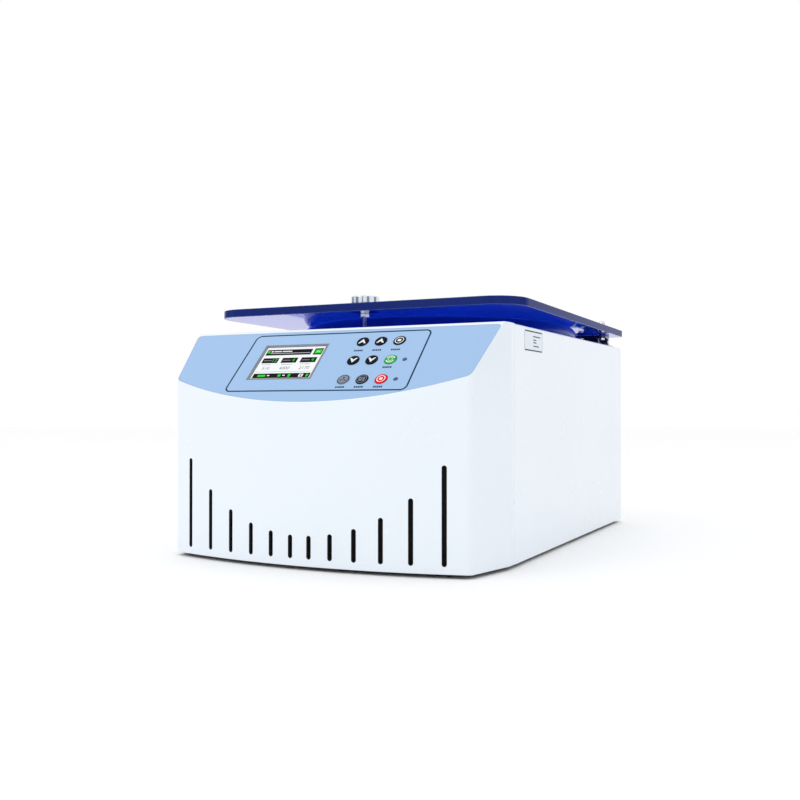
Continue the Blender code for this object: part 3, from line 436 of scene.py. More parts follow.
def rectangle(x_range, y_range):
    (x0, x1), (y0, y1) = x_range, y_range
    return [(x0, y0), (x1, y0), (x1, y1), (x0, y1)]


def spans(centre, size):
    """The X range and the Y range of a box round a centre."""
    return [(place - length / 2, place + length / 2) for place, length in zip(centre, size)]


def centred(centre, size):
    return rectangle(*spans(centre, size))


def rounded(x_range, y_range, radii, steps=8):
    """Rectangle with rounded corners; radii is one number or one for each corner, front left first."""
    (x0, x1), (y0, y1) = x_range, y_range
    a, b, c, d = radii if isinstance(radii, tuple) else (radii,) * 4
    return (arc((x0 + a, y0 + a), a, 180, 270, steps) + arc((x1 - b, y0 + b), b, 270, 360, steps)
            + arc((x1 - c, y1 - c), c, 0, 90, steps) + arc((x0 + d, y1 - d), d, 90, 180, steps))


def rounded_centred(centre, size, radius, steps=8):
    return rounded(*spans(centre, size), radius, steps)


def wider(span, extra):
    """A range grown at both ends."""
    return (span[0] - extra, span[1] + extra)


def grown(size, extra):
    return (size[0] + extra, size[1] + extra)


def around(radius, degrees):
    """Point on a circle round the origin."""
    return (radius * math.cos(math.radians(degrees)), radius * math.sin(math.radians(degrees)))


def bend(start, corner, end, steps):
    """Points on a curve from start to end that leans towards a corner."""
    points = []
    for i in range(steps + 1):
        t = i / steps
        points.append(tuple(start * (1 - t) ** 2 + corner * 2 * t * (1 - t) + end * t ** 2))
    return points


def corner_fillet():
    """Centre of the rounding between bow and cheek, and the cheek's direction and outward normal."""
    start = Vector((CHEEK_X, FRONT_RADIUS - math.sqrt(FRONT_RADIUS ** 2 - CHEEK_X ** 2)))
    along = (Vector((HALF_WIDTH, CHEEK_DEPTH)) - start).normalized()
    outward = Vector((along.y, -along.x))
    base = start - CORNER_RADIUS * outward - Vector((0, FRONT_RADIUS))
    half_b = base.dot(along)
    reach = (FRONT_RADIUS - CORNER_RADIUS) ** 2 - base.length_squared
    travel = -half_b - math.sqrt(half_b ** 2 + reach)
    return base + travel * along + Vector((0, FRONT_RADIUS)), along, outward


def front_outline(inset, rear_depth):
    """Plan outline of the bowed front and its cheeks, pulled in by inset, in (x, depth)."""
    centre, along, outward = corner_fillet()
    bow_end = math.degrees(math.atan2(centre.x, FRONT_RADIUS - centre.y))
    cheek_angle = math.degrees(math.atan2(outward.y, outward.x))
    bow = arc((0, FRONT_RADIUS), FRONT_RADIUS - inset, 270 - bow_end, 270 + bow_end, 72)
    corner = arc(centre, CORNER_RADIUS - inset, bow_end - 90, cheek_angle, 10)[1:]
    last = Vector(corner[-1])
    bend_depth = last.y + along.y * (HALF_WIDTH - inset - last.x) / along.x
    if rear_depth <= bend_depth:
        right = corner + [tuple(last + along * ((rear_depth - last.y) / along.y))]
    else:
        right = corner + [(HALF_WIDTH - inset, bend_depth), (HALF_WIDTH - inset, rear_depth)]
    left = [(-x, depth) for x, depth in reversed(right)]
    return left + bow + right


def in_plan(points):
    return [(x, FRONT_Y + depth) for x, depth in points]


def fascia_outline(margin):
    """Outline of the printed fascia on the slope, grown by margin, in (u, v)."""
    points = front_outline(FASCIA_INSET - margin, SLOPE_TOP_DEPTH)
    on_slope = [(x, (depth - SLOPE_TOP_DEPTH) / math.cos(SLOPE)) for x, depth in points]
    top = FASCIA_EDGE + margin
    (lean_x, lean_v), (side_x, side_v) = on_slope[-1], on_slope[-2]
    side = Vector((lean_x - side_x, lean_v - side_v)).normalized()
    tip = Vector((side_x + side.x * (top - side_v) / side.y, top))
    radius = FASCIA_CORNER + margin
    shoulder = bend(tip - side * radius, tip, tip - Vector((radius, 0)), 6)
    mirrored = [(-x, v) for x, v in reversed(shoulder)]
    return mirrored + on_slope[1:-1] + shoulder


# ---- solids from outlines ----

def add_prism(bm, outline, low, high):
    face = bm.faces.new([bm.verts.new((x, y, low)) for x, y in outline])
    lifted = bmesh.ops.extrude_face_region(bm, geom=[face])["geom"]
    verts = [item for item in lifted if isinstance(item, bmesh.types.BMVert)]
    bmesh.ops.translate(bm, verts=verts, vec=(0, 0, high - low))


def prism(outline, low, high):
    bm = bmesh.new()
    add_prism(bm, outline, low, high)
    return bm


def side_prism(outline, half_width, centre=0.0):
    """Prism along X over an outline in YZ."""
    bm = prism(outline, centre - half_width, centre + half_width)
    bm.transform(Matrix(((0, 0, 1, 0), (1, 0, 0, 0), (0, 1, 0, 0), (0, 0, 0, 1))))
    return bm


def add_loft(bm, rings):
    """Closed solid through rings of the same number of points."""
    levels = [[bm.verts.new(point) for point in ring] for ring in rings]
    count = len(levels[0])
    for lower, upper in zip(levels, levels[1:]):
        for i in range(count):
            j = (i + 1) % count
            bm.faces.new((lower[i], lower[j], upper[j], upper[i]))
    bm.faces.new(list(reversed(levels[0])))
    bm.faces.new(levels[-1])


def add_band(bm, rings):
    """Closed band through rings of the same number of points, the last one joined to the first."""
    layers = [[bm.verts.new(point) for point in ring] for ring in rings]
    count = len(layers[0])
    for a, b in zip(layers, layers[1:] + layers[:1]):
        for i in range(count):
            j = (i + 1) % count
            bm.faces.new((a[i], a[j], b[j], b[i]))


def add_tube(bm, outline, inner, low, high):
    """Flat ring between two outlines of the same number of points."""
    levels = ((outline, low), (outline, high), (inner, high), (inner, low))
    add_band(bm, [[(x, y, z) for x, y in points] for points, z in levels])


def turned(profile, steps=96, ring=False):
    """Solid of revolution about Z. A ring's profile closes on itself; others end on the axis."""
    bm = bmesh.new()
    verts = [bm.verts.new((radius, 0, height)) for radius, height in profile]
    pairs = list(zip(verts, verts[1:]))
    if ring:
        pairs.append((verts[-1], verts[0]))
    edges = [bm.edges.new(pair) for pair in pairs]
    bmesh.ops.spin(bm, geom=verts + edges, cent=(0, 0, 0), axis=(0, 0, 1),
                   angle=2 * math.pi, steps=steps, use_merge=True)
    bmesh.ops.remove_doubles(bm, verts=bm.verts, dist=1e-6)
    return bm


def joined(*parts):
    """One mesh from several, each with its own matrix."""
    bm = bmesh.new()
    for part, matrix in parts:
        face_outwards(part)
        part.transform(matrix)
        scratch = bpy.data.meshes.new("scratch")
        part.to_mesh(scratch)
        part.free()
        bm.from_mesh(scratch)
        bpy.data.meshes.remove(scratch)
    return bm


def face_outwards(bm):
    bmesh.ops.recalc_face_normals(bm, faces=bm.faces)
    if bm.calc_volume(signed=True) < 0:
        bmesh.ops.reverse_faces(bm, faces=bm.faces)


def softened(profile, radius):
    """Profile whose inner corners are rounded by up to radius."""
    points = [Vector(point) for point in profile]
    result = [profile[0]]
    for before, corner, after in zip(points, points[1:], points[2:]):
        a, b = before - corner, after - corner
        reach = min(radius, a.length * 0.45, b.length * 0.45)
        result += bend(corner + a.normalized() * reach, corner, corner + b.normalized() * reach, 3)
    result.append(profile[-1])
    return result


# ---- pieces ----

def make(name, bm, material, matrix=UPRIGHT, outwards=True):
    """A mesh object in place in the row frame."""
    if outwards:
        face_outwards(bm)
    mesh = bpy.data.meshes.new(name)
    bm.to_mesh(mesh)
    bm.free()
    mesh.shade_smooth()
    mesh.set_sharp_from_angle(angle=CREASE)
    mesh.materials.append(material)
    obj = bpy.data.objects.new(name, mesh)
    bpy.context.collection.objects.link(obj)
    obj.matrix_world = matrix
    return obj


def settle(obj):
    """Turns an object's modifiers into its mesh."""
    bpy.context.view_layer.update()
    graph = bpy.context.evaluated_depsgraph_get()
    mesh = bpy.data.meshes.new_from_object(obj.evaluated_get(graph))
    old = obj.data
    obj.modifiers.clear()
    obj.data = mesh
    bpy.data.meshes.remove(old)


def carve(obj, bm, matrix=UPRIGHT, operation="DIFFERENCE"):
    """Boolean of a tool on an object, made part of its mesh at once."""
    tool = make(obj.name + "_tool", bm, obj.data.materials[0], matrix)
    modifier = obj.modifiers.new("carve", "BOOLEAN")
    modifier.operation = operation
    modifier.solver = "EXACT"
    modifier.object = tool
    settle(obj)
    bpy.data.objects.remove(tool, do_unlink=True)


def bevel_edges(obj, width, segments=2, angle=CREASE):
    bevel = obj.modifiers.new("edges", "BEVEL")
    bevel.width = width
    bevel.segments = segments
    bevel.limit_method = "ANGLE"
    bevel.angle_limit = angle
    bevel.use_clamp_overlap = True


def round_edges(obj, width, segments=2):
    bevel_edges(obj, width, segments)
    even_normals(obj)


def even_normals(obj):
    obj.data.set_sharp_from_angle(angle=math.radians(40))
    normals = obj.modifiers.new("normals", "WEIGHTED_NORMAL")
    normals.keep_sharp = True
    normals.weight = 90


def put(obj, body, slot, *nodes):
    """The piece rides on a CAD body and stands for these CAD nodes, whose solids it hides. The slot is not
    used.
    """
    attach(obj, body)
    if nodes:
        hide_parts(*nodes)
    return obj


# ---- casing ----

def cover_body(inset, low, rear_depth):
    """Solid under the deck and the slope, pulled in by inset on every face."""
    bm = prism(in_plan(front_outline(inset, rear_depth)), low, DECK - inset)
    normal = Vector((0, -math.sin(SLOPE), math.cos(SLOPE)))
    edge = Vector((0, FRONT_Y + SLOPE_TOP_DEPTH, DECK)) - normal * inset
    everything = bm.verts[:] + bm.edges[:] + bm.faces[:]
    bmesh.ops.bisect_plane(bm, geom=everything, plane_co=edge, plane_no=normal, clear_outer=True)
    bmesh.ops.holes_fill(bm, edges=bm.edges)
    face_outwards(bm)
    return bm


def bevel_body(bm, rear_y):
    """Rounds the moulding's outside edges; the joint with the side panels stays crisp."""
    bm.normal_update()
    outer, joint = [], []
    for edge in bm.edges:
        if edge.calc_face_angle(0) < math.radians(25):
            continue
        at_rear = all(abs(vert.co.y - rear_y) < 1e-5 for vert in edge.verts)
        at_foot = all(vert.co.z < 1e-4 for vert in edge.verts)
        if at_rear:
            joint.append(edge)
        elif not at_foot:
            outer.append(edge)
    bmesh.ops.bevel(bm, geom=outer, offset=0.0008, segments=4, profile=0.5, affect="EDGES",
                    clamp_overlap=False)
    bm.normal_update()


def slot_ring(x, top, grow, offset):
    """Outline of one slot, grown, at a distance out from the bowed face."""
    lean = math.asin(x / FRONT_RADIUS)
    depth = FRONT_RADIUS - math.sqrt(FRONT_RADIUS ** 2 - x ** 2)
    tangent = Vector((math.cos(lean), math.sin(lean), 0))
    outward = Vector((math.sin(lean), -math.cos(lean), 0))
    base = Vector((x, FRONT_Y + depth, 0)) + outward * offset
    outline = capsule(0, SLOT_FOOT - grow, top + grow, SLOT_WIDTH + 2 * grow)
    return [base + tangent * a + Vector((0, 0, b)) for a, b in outline]


def slot_tool(x, top):
    """Cutter for one slot: rounded mouth that follows the bow, then straight through the wall."""
    steps = [(SLOT_MOUTH, 0.0004)]
    for i in range(5):
        turn = math.radians(90 * i / 4)
        steps.append((SLOT_MOUTH * (1 - math.sin(turn)), -SLOT_MOUTH * (1 - math.cos(turn))))
    steps.append((0.0, -0.0045))
    return [slot_ring(x, top, grow, offset) for grow, offset in steps]


def panel_holes(key_radius, key_steps, led_steps, low, high):
    """Cutter for the display's opening, the nine key holes and the two lamp holes."""
    holes = prism(centred(DISPLAY_CENTRE, grown(DISPLAY_SIZE, 2 * GAP)), low, high)
    for v in KEY_ROWS:
        for u in KEY_COLUMNS:
            add_prism(holes, circle((u, v), key_radius, key_steps), low, high)
    for v in KEY_ROWS[1:]:
        add_prism(holes, circle((LED_U, v), LED_RADIUS + GAP, led_steps), low, high)
    return holes


def build_front():
    bm = cover_body(0, SKIRT, SEAM_DEPTH)
    bevel_body(bm, COVER_HIGH.y)
    cover = make("front_moulding", bm, WHITE)
    carve(cover, cover_body(COVER_WALL, -SKIRT, SEAM_DEPTH + 0.02))
    slots, shade_linings = bmesh.new(), bmesh.new()
    x = SLOT_FIRST_PITCH / 2
    for order, top in enumerate(SLOT_TOPS):
        for side in (-1, 1):
            add_loft(slots, slot_tool(side * x, top))
            # each slot is lined with a black band, painted shade of its dark inside
            rings = [slot_ring(side * x, top, grow, offset) for grow, offset in SLOT_SHADE_PROFILE]
            add_band(shade_linings, rings)
        x += SLOT_FIRST_PITCH + SLOT_PITCH_GROWTH * (order + 1)
    put(make("slot_shade_linings", shade_linings, SLOT_SHADE_BLACK), "housing", "rubber")
    carve(cover, slots)
    # the holes come first and rise above the slope, so that no face of a cutter lies in its plane
    carve(cover, panel_holes(KEY_STEM_RADIUS + 0.0005, 24, 24, -0.008, 0.001), PANEL)
    carve(cover, prism(fascia_outline(GAP), -FASCIA_RECESS, 0.002), PANEL)
    even_normals(cover)
    put(cover, "housing", "white_paint", "front_cover")

    # black sheet behind the slots: painted shade of the dark inside seen through them
    shade_front, shade_back, shade_reach = 0.0058, 0.0088, 0.045
    shade_low, shade_high = 0.0104, 0.1120
    outer = front_outline(shade_front, shade_reach)[1:-1]
    inner = front_outline(shade_back, shade_reach)[1:-1]
    sheet = prism(in_plan(outer + list(reversed(inner))), shade_low, shade_high)
    put(make("slot_shade_sheet", sheet, SLOT_SHADE_BLACK), "housing", "rubber")


def build_sides():
    bend, flange = 0.003, 0.012
    outer = [(0, SKIRT)] + arc((-bend, DECK - bend), bend, 0, 90, 8) + [(-flange, DECK)]
    inner = [(-flange, DECK - SHEET)] + arc((-bend, DECK - bend), bend - SHEET, 90, 0, 4)
    inner += [(-SHEET, SKIRT)]
    length = CASING_DEPTH - SEAM_DEPTH - SEAM
    centre = FRONT_Y + SEAM_DEPTH + SEAM + length / 2
    for name, side in (("left_side", -1), ("right_side", 1)):
        bm = prism([(side * x, z) for x, z in outer + inner], -length / 2, length / 2)
        place = at(side * HALF_WIDTH, centre) @ rotation(math.pi / 2, "X")
        panel = make(name + "_sheet", bm, WHITE, place)
        round_edges(panel, 0.0003)
        put(panel, "housing", "white_paint", name + "_panel")


def build_label():
    """Small label on the right side: a printed frame, two bars and four lines of dashes."""
    thickness, bar = 0.00015, 0.0011
    facing = Matrix(((0, 0, 1, HALF_WIDTH), (1, 0, 0, FRONT_Y + LABEL_DEPTH),
                     (0, 1, 0, LABEL_HEIGHT), (0, 0, 0, 1)))
    sheet = prism(rounded_centred((0, 0), LABEL_SIZE, 0.0015), -0.0002, thickness)
    put(make("side_label", sheet, LABEL, facing), "housing", "white_paint")
    rules = bmesh.new()
    high = thickness + 0.00004
    frame_size = (0.0582, 0.0214)
    add_tube(rules, rounded_centred((0, 0), frame_size, 0.0012),
             rounded_centred((0, 0), grown(frame_size, -0.0008), 0.0009), 0, high)
    for y in (-0.0100, 0.0100):
        add_prism(rules, centred((0, y), (0.056, bar)), 0, high + 0.00001)
    for x, y, length in ((0.010, 0.0050, 0.024), (0.004, 0.0014, 0.010),
                         (0.004, -0.0014, 0.010), (0.008, -0.0052, 0.018)):
        add_prism(rules, centred((x, y), (length, bar)), 0, high)
    put(make("side_label_rule", rules, CAPTION_INK, facing), "housing", "key_black")


def build_deck():
    half = HALF_WIDTH - 0.012 - SEAM
    outline = rectangle((-half, half), (COVER_HIGH.y + SEAM, REAR_HIGH.y))
    deck = make("deck_sheet", prism(outline, DECK - SHEET, DECK), WHITE)
    stud_spot = (0, FRONT_Y + KNOB_DEPTH)
    holes = prism(circle((0, CHAMBER.y), 0.153, 128), DECK - 0.01, DECK + 0.01)
    add_prism(holes, circle(stud_spot, 0.006, 40), DECK - 0.01, DECK + 0.01)
    carve(deck, holes)
    round_edges(deck, 0.0003)
    put(deck, "housing", "white_paint", "top_deck")
    section = [(0.0046, DECK - 0.0024), (0.0058, DECK - 0.0024), (0.0058, DECK + 0.0002),
               (0.0072, DECK + 0.0004), (0.0070, DECK + 0.0012), (0.0052, DECK + 0.0012)]
    grommet = turned(section, 48, ring=True)
    put(make("stud_grommet", grommet, RUBBER, at(*stud_spot)), "housing", "rubber")


def pan_screw(radius=0.0030, height=0.0016):
    """Domed screw head with a cross recess."""
    rise = height / radius
    dome = [(x, y * rise) for x, y in arc((0, 0), radius, 0, 90, 6)][:-1]
    head = make("screw", turned([(0, -0.0004), (radius, -0.0004)] + dome + [(0, height)], 32), CHROME_BLUE_REFLECTION)
    long, short = radius * 1.15, radius * 0.24
    for size in ((long, short), (short, long)):
        carve(head, prism(centred((0, 0), size), height * 0.35, height * 2))
    mesh = head.data
    bpy.data.objects.remove(head, do_unlink=True)
    return mesh


def build_screws(mesh, spots, name, place):
    for number, (x, y, z) in enumerate(spots, 1):
        head = bpy.data.objects.new("%s_%d" % (name, number), mesh)
        bpy.context.collection.objects.link(head)
        head.matrix_world = place @ at(x, y, z) @ rotation(0.7 * number)
        put(head, "housing", "chrome")


def build_rear():
    half = HALF_WIDTH - SHEET - SEAM
    outline = rectangle((-half, half), (SKIRT, DECK - SHEET - GAP))
    panel = make("rear_sheet", prism(outline, -SHEET, 0), WHITE, BACK)
    openings = [capsule(-0.145 + 0.012 * column, row, row + 0.036, 0.004, 8)
                for row in (0.085, 0.135) for column in range(9)]
    openings += [rounded_centred((-INLET_X, POWER_HEIGHT), (0.0286, 0.0206), 0.002),
                 rounded_centred((-SWITCH_X, POWER_HEIGHT), (0.0156, 0.0236), 0.001),
                 circle((-FUSE_X, POWER_HEIGHT), 0.0073, 32)]
    holes = bmesh.new()
    for opening in openings:
        add_prism(holes, opening, -0.01, 0.01)
    carve(panel, holes, BACK)
    round_edges(panel, 0.0003)
    put(panel, "housing", "white_paint", "rear_panel")
    corners = [(x, y, 0) for x in (-0.176, 0.176) for y in (0.030, 0.125, 0.222)]
    build_screws(pan_screw(), corners, "rear_screw", BACK)
    inlet = [(-INLET_X + shift, POWER_HEIGHT, 0.0028) for shift in (-0.01465, 0.01465)]
    build_screws(pan_screw(0.0017, 0.0008), inlet, "inlet_screw", BACK)

    plate = prism(rounded_centred(PLATE_CENTRE, PLATE_SIZE, 0.002), 0, 0.0004)
    put(make("rating_plate", plate, ZINC, BACK), "housing", "zinc_steel")
    rules, low, high = bmesh.new(), 0.0003, 0.00045
    for y in (0.186, 0.179, 0.172, 0.165):
        add_prism(rules, rectangle((-0.001, 0.061), (y, y + 0.0004)), low, high)
    add_tube(rules, rounded_centred(PLATE_CENTRE, grown(PLATE_SIZE, -0.004), 0.0015),
             rounded_centred(PLATE_CENTRE, grown(PLATE_SIZE, -0.0048), 0.0011), low, high)
    put(make("rating_plate_rules", rules, BLACK_INK, BACK), "housing", "key_black")


# ---- chamber and rotor ----

def build_chamber():
    place = at(0, CHAMBER.y)
    rim, drain, flange = DECK + GAP, 0.020, 0.158
    corner = (BOWL_FOOT_RADIUS - BOWL_FILLET, BOWL_FLOOR + BOWL_FILLET)
    inside = [(BOWL_RADIUS + 0.0009, rim + BOWL_SHEET), (BOWL_RADIUS + 0.0002, rim + BOWL_SHEET - 0.0003),
              (BOWL_RADIUS, rim + BOWL_SHEET - 0.0009)] + arc(corner, BOWL_FILLET, 0, -90, 10)
    outside = arc(corner, BOWL_FILLET + BOWL_SHEET, -90, 0, 10)
    profile = (inside + [(drain, BOWL_FLOOR), (drain, BOWL_FLOOR - BOWL_SHEET)] + outside
               + [(BOWL_RADIUS + BOWL_SHEET, rim), (flange, rim), (flange, rim + BOWL_SHEET)])
    bowl = make("bowl", turned(profile, 160, ring=True), STAINLESS, place)
    put(bowl, "housing", "stainless", "chamber_bowl", "chamber_floor")

    lip = ([(0.160, rim), (0.168, rim), (0.168, rim + 0.0015)]
           + arc((0.164, rim + 0.003), 0.002, 0, 180, 12) + [(0.160, rim + 0.0015)])
    put(make("seal_ring", turned(lip, 160, ring=True), RUBBER, place), "housing", "rubber", "chamber_seal")

    folds = ((0.0105, 0), (0.028, 0), (0.028, 0.0016), (0.0265, 0.0022), (0.020, 0.0034), (0.0172, 0.0050),
             (0.0160, 0.0068), (0.0165, 0.0078), (0.0150, 0.0088), (0.0140, 0.010), (0.0105, 0.010))
    boot = turned([(radius, BOWL_FLOOR + GAP + height) for radius, height in folds], 64, ring=True)
    put(make("shaft_gaiter", boot, RUBBER, place), "housing", "rubber", "shaft_boot")


def rotor_point(along, across):
    """Point in the rotor's section, from the foot of a leaning pocket."""
    sine, cosine = math.sin(POCKET_LEAN), math.cos(POCKET_LEAN)
    radius = ROTOR_RADIUS - POCKET_RADIUS * cosine
    return (radius - along * sine + across * cosine, POCKET_FOOT + along * cosine + across * sine)


def rotor_turns():
    return [rotation(2 * math.pi * number / POCKET_COUNT) for number in range(POCKET_COUNT)]


def build_rotor():
    hub_radius, well, bore = 0.020, 0.066, 0.0083
    skirt, roof, spigot, foot = 0.094, 0.056, 0.018, 0.020
    mouth_in, mouth_out = rotor_point(POCKET_DEPTH, -POCKET_SKIN), rotor_point(POCKET_DEPTH, POCKET_SKIN)
    shoulder, heel = rotor_point(0.004, POCKET_SKIN), rotor_point(-0.006, -0.010)
    profile = [(bore, foot), (bore, HUB_TOP), (hub_radius, HUB_TOP), (hub_radius, well),
               (mouth_in[0] - 0.006, well), mouth_in, mouth_out, shoulder,
               (shoulder[0], shoulder[1] - 0.010), heel, (skirt + 0.003, 0), (skirt, 0), (0.052, roof),
               (spigot, roof), (spigot, foot), (bore + 0.001, foot)]
    place = at(0, CHAMBER.y, ROTOR_BASE)
    body = turned(softened(profile, 0.0012)[:-1], 144, ring=True)
    rotor = make("rotor_head", body, ROTOR_ALLOY, place)
    radius, height = rotor_point(0, 0)
    lean = at(radius, 0, height) @ rotation(-POCKET_LEAN, "Y")
    flare, above = POCKET_RADIUS + 0.001, POCKET_DEPTH + 0.02
    pocket = [(0, 0)] + arc((0.011, 0.004), 0.004, 270, 360, 5)
    pocket += [(POCKET_RADIUS, POCKET_DEPTH - 0.0012), (flare, POCKET_DEPTH), (flare, above), (0, above)]
    tools = [(turned(pocket, 40), turn @ lean) for turn in rotor_turns()]
    carve(rotor, joined(*tools), place)
    even_normals(rotor)
    put(rotor, "rotor", "rotor_alloy", "rotor")

    spot = at(mouth_in[0] - 0.0075, 0, well) @ rotation(math.pi / 2)
    marks = [(digits(str(number), 0.0060, 0.0001), turn @ spot)
             for number, turn in enumerate(rotor_turns(), 1)]
    put(make("rotor_numbers", joined(*marks), BLACK_INK, place), "rotor", "key_black")


def build_rotor_nut():
    """Hand nut with eighteen flutes on top of the rotor's hub."""
    flutes = 18
    section = [(0, 0.011), (0.0053, 0.011), (0.0053, 0), (0.018, 0), (0.018, 0.003), (0.015, 0.004),
               (0.015, 0.0155), (0.012, 0.018), (0, 0.018)]
    place = at(0, CHAMBER.y, ROTOR_BASE + HUB_TOP + GAP)
    nut = make("rotor_hand_nut", turned(softened(section, 0.0006), 72), STEEL, place)
    grooves = bmesh.new()
    for number in range(flutes):
        add_prism(grooves, circle(around(0.0159, 360 / flutes * number), 0.0015, 12), 0.0043, 0.03)
    carve(nut, grooves, place)
    even_normals(nut)
    put(nut, "rotor", "steel_bright", "rotor_nut")


def digits(text, height, thickness):
    """Solid numerals lying in XY, centred on the origin."""
    curve = bpy.data.curves.new("numerals", "FONT")
    curve.body = text
    curve.size = height * 1.4
    curve.extrude = thickness / 2
    curve.align_x = "CENTER"
    curve.align_y = "CENTER"
    holder = bpy.data.objects.new("numerals", curve)
    bpy.context.collection.objects.link(holder)
    bpy.context.view_layer.update()
    mesh = bpy.data.meshes.new_from_object(holder.evaluated_get(bpy.context.evaluated_depsgraph_get()))
    bm = bmesh.new()
    bm.from_mesh(mesh)
    bmesh.ops.remove_doubles(bm, verts=bm.verts, dist=1e-6)
    bpy.data.objects.remove(holder, do_unlink=True)
    bpy.data.curves.remove(curve)
    bpy.data.meshes.remove(mesh)
    return bm


# ---- control panel ----

def build_fascia():
    film = make("fascia_sheet", prism(fascia_outline(0), FASCIA_LOW, FASCIA_TOP), FASCIA, PANEL)
    carve(film, panel_holes(KEY_RADIUS + GAP, 64, 32, -0.01, 0.01), PANEL)
    round_edges(film, 0.00012)
    put(film, "housing", "fascia_blue", "control_fascia")

    low, high = FASCIA_TOP - INK_ROOT, FASCIA_TOP + INK
    line = bmesh.new()
    outside, inside = [rounded(wider(LINE_X, extra), wider(LINE_Y, extra), LINE_CORNER + extra)
                       for extra in (LINE_HALF_WIDTH, -LINE_HALF_WIDTH)]
    add_tube(line, outside, inside, low, high)
    put(make("panel_line", line, LINE_INK, PANEL), "housing", "key_black")

    captions = bmesh.new()
    width, height = CAPTION_MARK
    for v, row in zip(KEY_ROWS, CAPTION_DROPS):
        for u, drop in zip(KEY_COLUMNS, row):
            if drop is None:
                continue
            for order in range(-2, 3):
                size = (width, height - 0.0003 * (order % 2))
                mark = rounded_centred((u + CAPTION_PITCH * order, v - drop), size, 0.0002, 2)
                add_prism(captions, mark, low, high)
    put(make("caption_marks", captions, CAPTION_INK, PANEL), "housing", "key_black")


def on_screen(x_range, y_range):
    """Part of the screen given in hundredths from its top left corner, in the display's own frame."""
    (left, bottom), (right, top) = [screen_spot(x, y) for x, y in zip(x_range, reversed(y_range))]
    return rectangle((left, right), (bottom, top))


def screen_spot(x, y):
    """A place on the screen given in hundredths from its top left corner."""
    width, height = SCREEN_SIZE
    return (width * (x / 100 - 0.5), height * (0.5 - y / 100))


# numbers on the screen: text, place in hundredths, height
GREEN_TEXTS = (("12", 24.5, 43, 0.0050), ("4", 57, 43, 0.0050), ("4", 89, 43, 0.0050))
GREY_TEXTS = (("510", 17, 68, 0.0046), ("4000", 49, 68, 0.0046), ("2170", 82, 68, 0.0046))


def screen_layer(name, material, boxes, place, low, high, texts=()):
    """Boxes and numbers of one colour; a box is its two ranges in hundredths of the screen."""
    bm = bmesh.new()
    for x_range, y_range in boxes:
        add_prism(bm, on_screen(x_range, y_range), low, high)
    numerals = [(digits(text, height, 0.00009),
                 at(*screen_spot(x, y), SCREEN_FACE + 0.00002))
                for text, x, y, height in texts]
    put(make(name, joined((bm, UPRIGHT), *numerals), material, place), "housing", "display")


def build_display():
    place = PANEL @ at(*DISPLAY_CENTRE)
    bezel = bmesh.new()
    add_tube(bezel, centred((0, 0), DISPLAY_SIZE), centred((0, 0), SCREEN_SIZE), -0.004, -0.0003)
    rim = make("display_rim", bezel, BEZEL, place)
    round_edges(rim, 0.00035, 3)
    put(rim, "housing", "bezel_grey", "display_bezel")

    face = SCREEN_FACE
    glass = prism(centred((0, 0), grown(SCREEN_SIZE, -2 * GAP)), -0.006, face)
    put(make("display_glass", glass, SCREEN, place), "housing", "display", "display_module")

    black = (((3, 80), (8, 26)), ((84, 98), (7, 27)), ((4, 31), (35, 51)), ((37, 63), (35, 51)),
             ((69, 95), (35, 51)), ((3, 98), (84, 98)))
    screen_layer("screen_black", SCREEN_BLACK, black, place, face - 0.0001, face + 0.00005)
    over = face + 0.00009
    green = (((4.5, 8.5), (11, 19)), ((86, 96.5), (11, 23)), ((11, 24), (88, 94)), ((45, 50), (88, 94)),
             ((62, 66), (87, 95)), ((92, 95), (87, 95)))
    screen_layer("screen_green", SCREEN_GREEN, green, place, face, over, GREEN_TEXTS)
    white = (((10.5, 14), (12, 16)), ((15.5, 28), (12.5, 15.5)), ((29.5, 46), (12.5, 15.5)),
             ((10, 78), (19.5, 20.5)), ((27, 31), (89, 92)), ((53, 57), (89, 92)), ((80, 87), (86.5, 95.5)),
             ((89, 93.5), (16, 17.5)))
    screen_layer("screen_white", SCREEN, white, place, face, over + 0.00002)
    grey = (((6, 20), (42, 44)), ((39, 52), (42, 44)), ((71, 84), (42, 44)), ((7, 22), (55.5, 56.5)),
            ((40, 58), (55.5, 56.5)), ((72, 88), (55.5, 56.5)), ((82, 85), (88, 94)), ((4, 96), (78.5, 79)))
    screen_layer("screen_grey", SCREEN_GREY, grey, place, face, over + 0.00003, GREY_TEXTS)


def arrow(direction):
    """Notched arrowhead."""
    half = [(0, 0.0039), (0.0045, -0.0030), (0.0026, -0.0031), (0, -0.0006)]
    whole = half + [(-x, y) for x, y in reversed(half[1:3])]
    return [(x, y * direction) for x, y in whole][::direction]


KEY_LOOKS = {"start_key": (GREEN_INK, "key_green"), "stop_key": (RED_INK, "key_red"),
             "rotor_key": (GREY_INK, "key_grey")}
ICON_INKS = {"menu_key": (GREY_INK, "key_grey"), "rotor_key": (BLACK_INK, "key_black")}


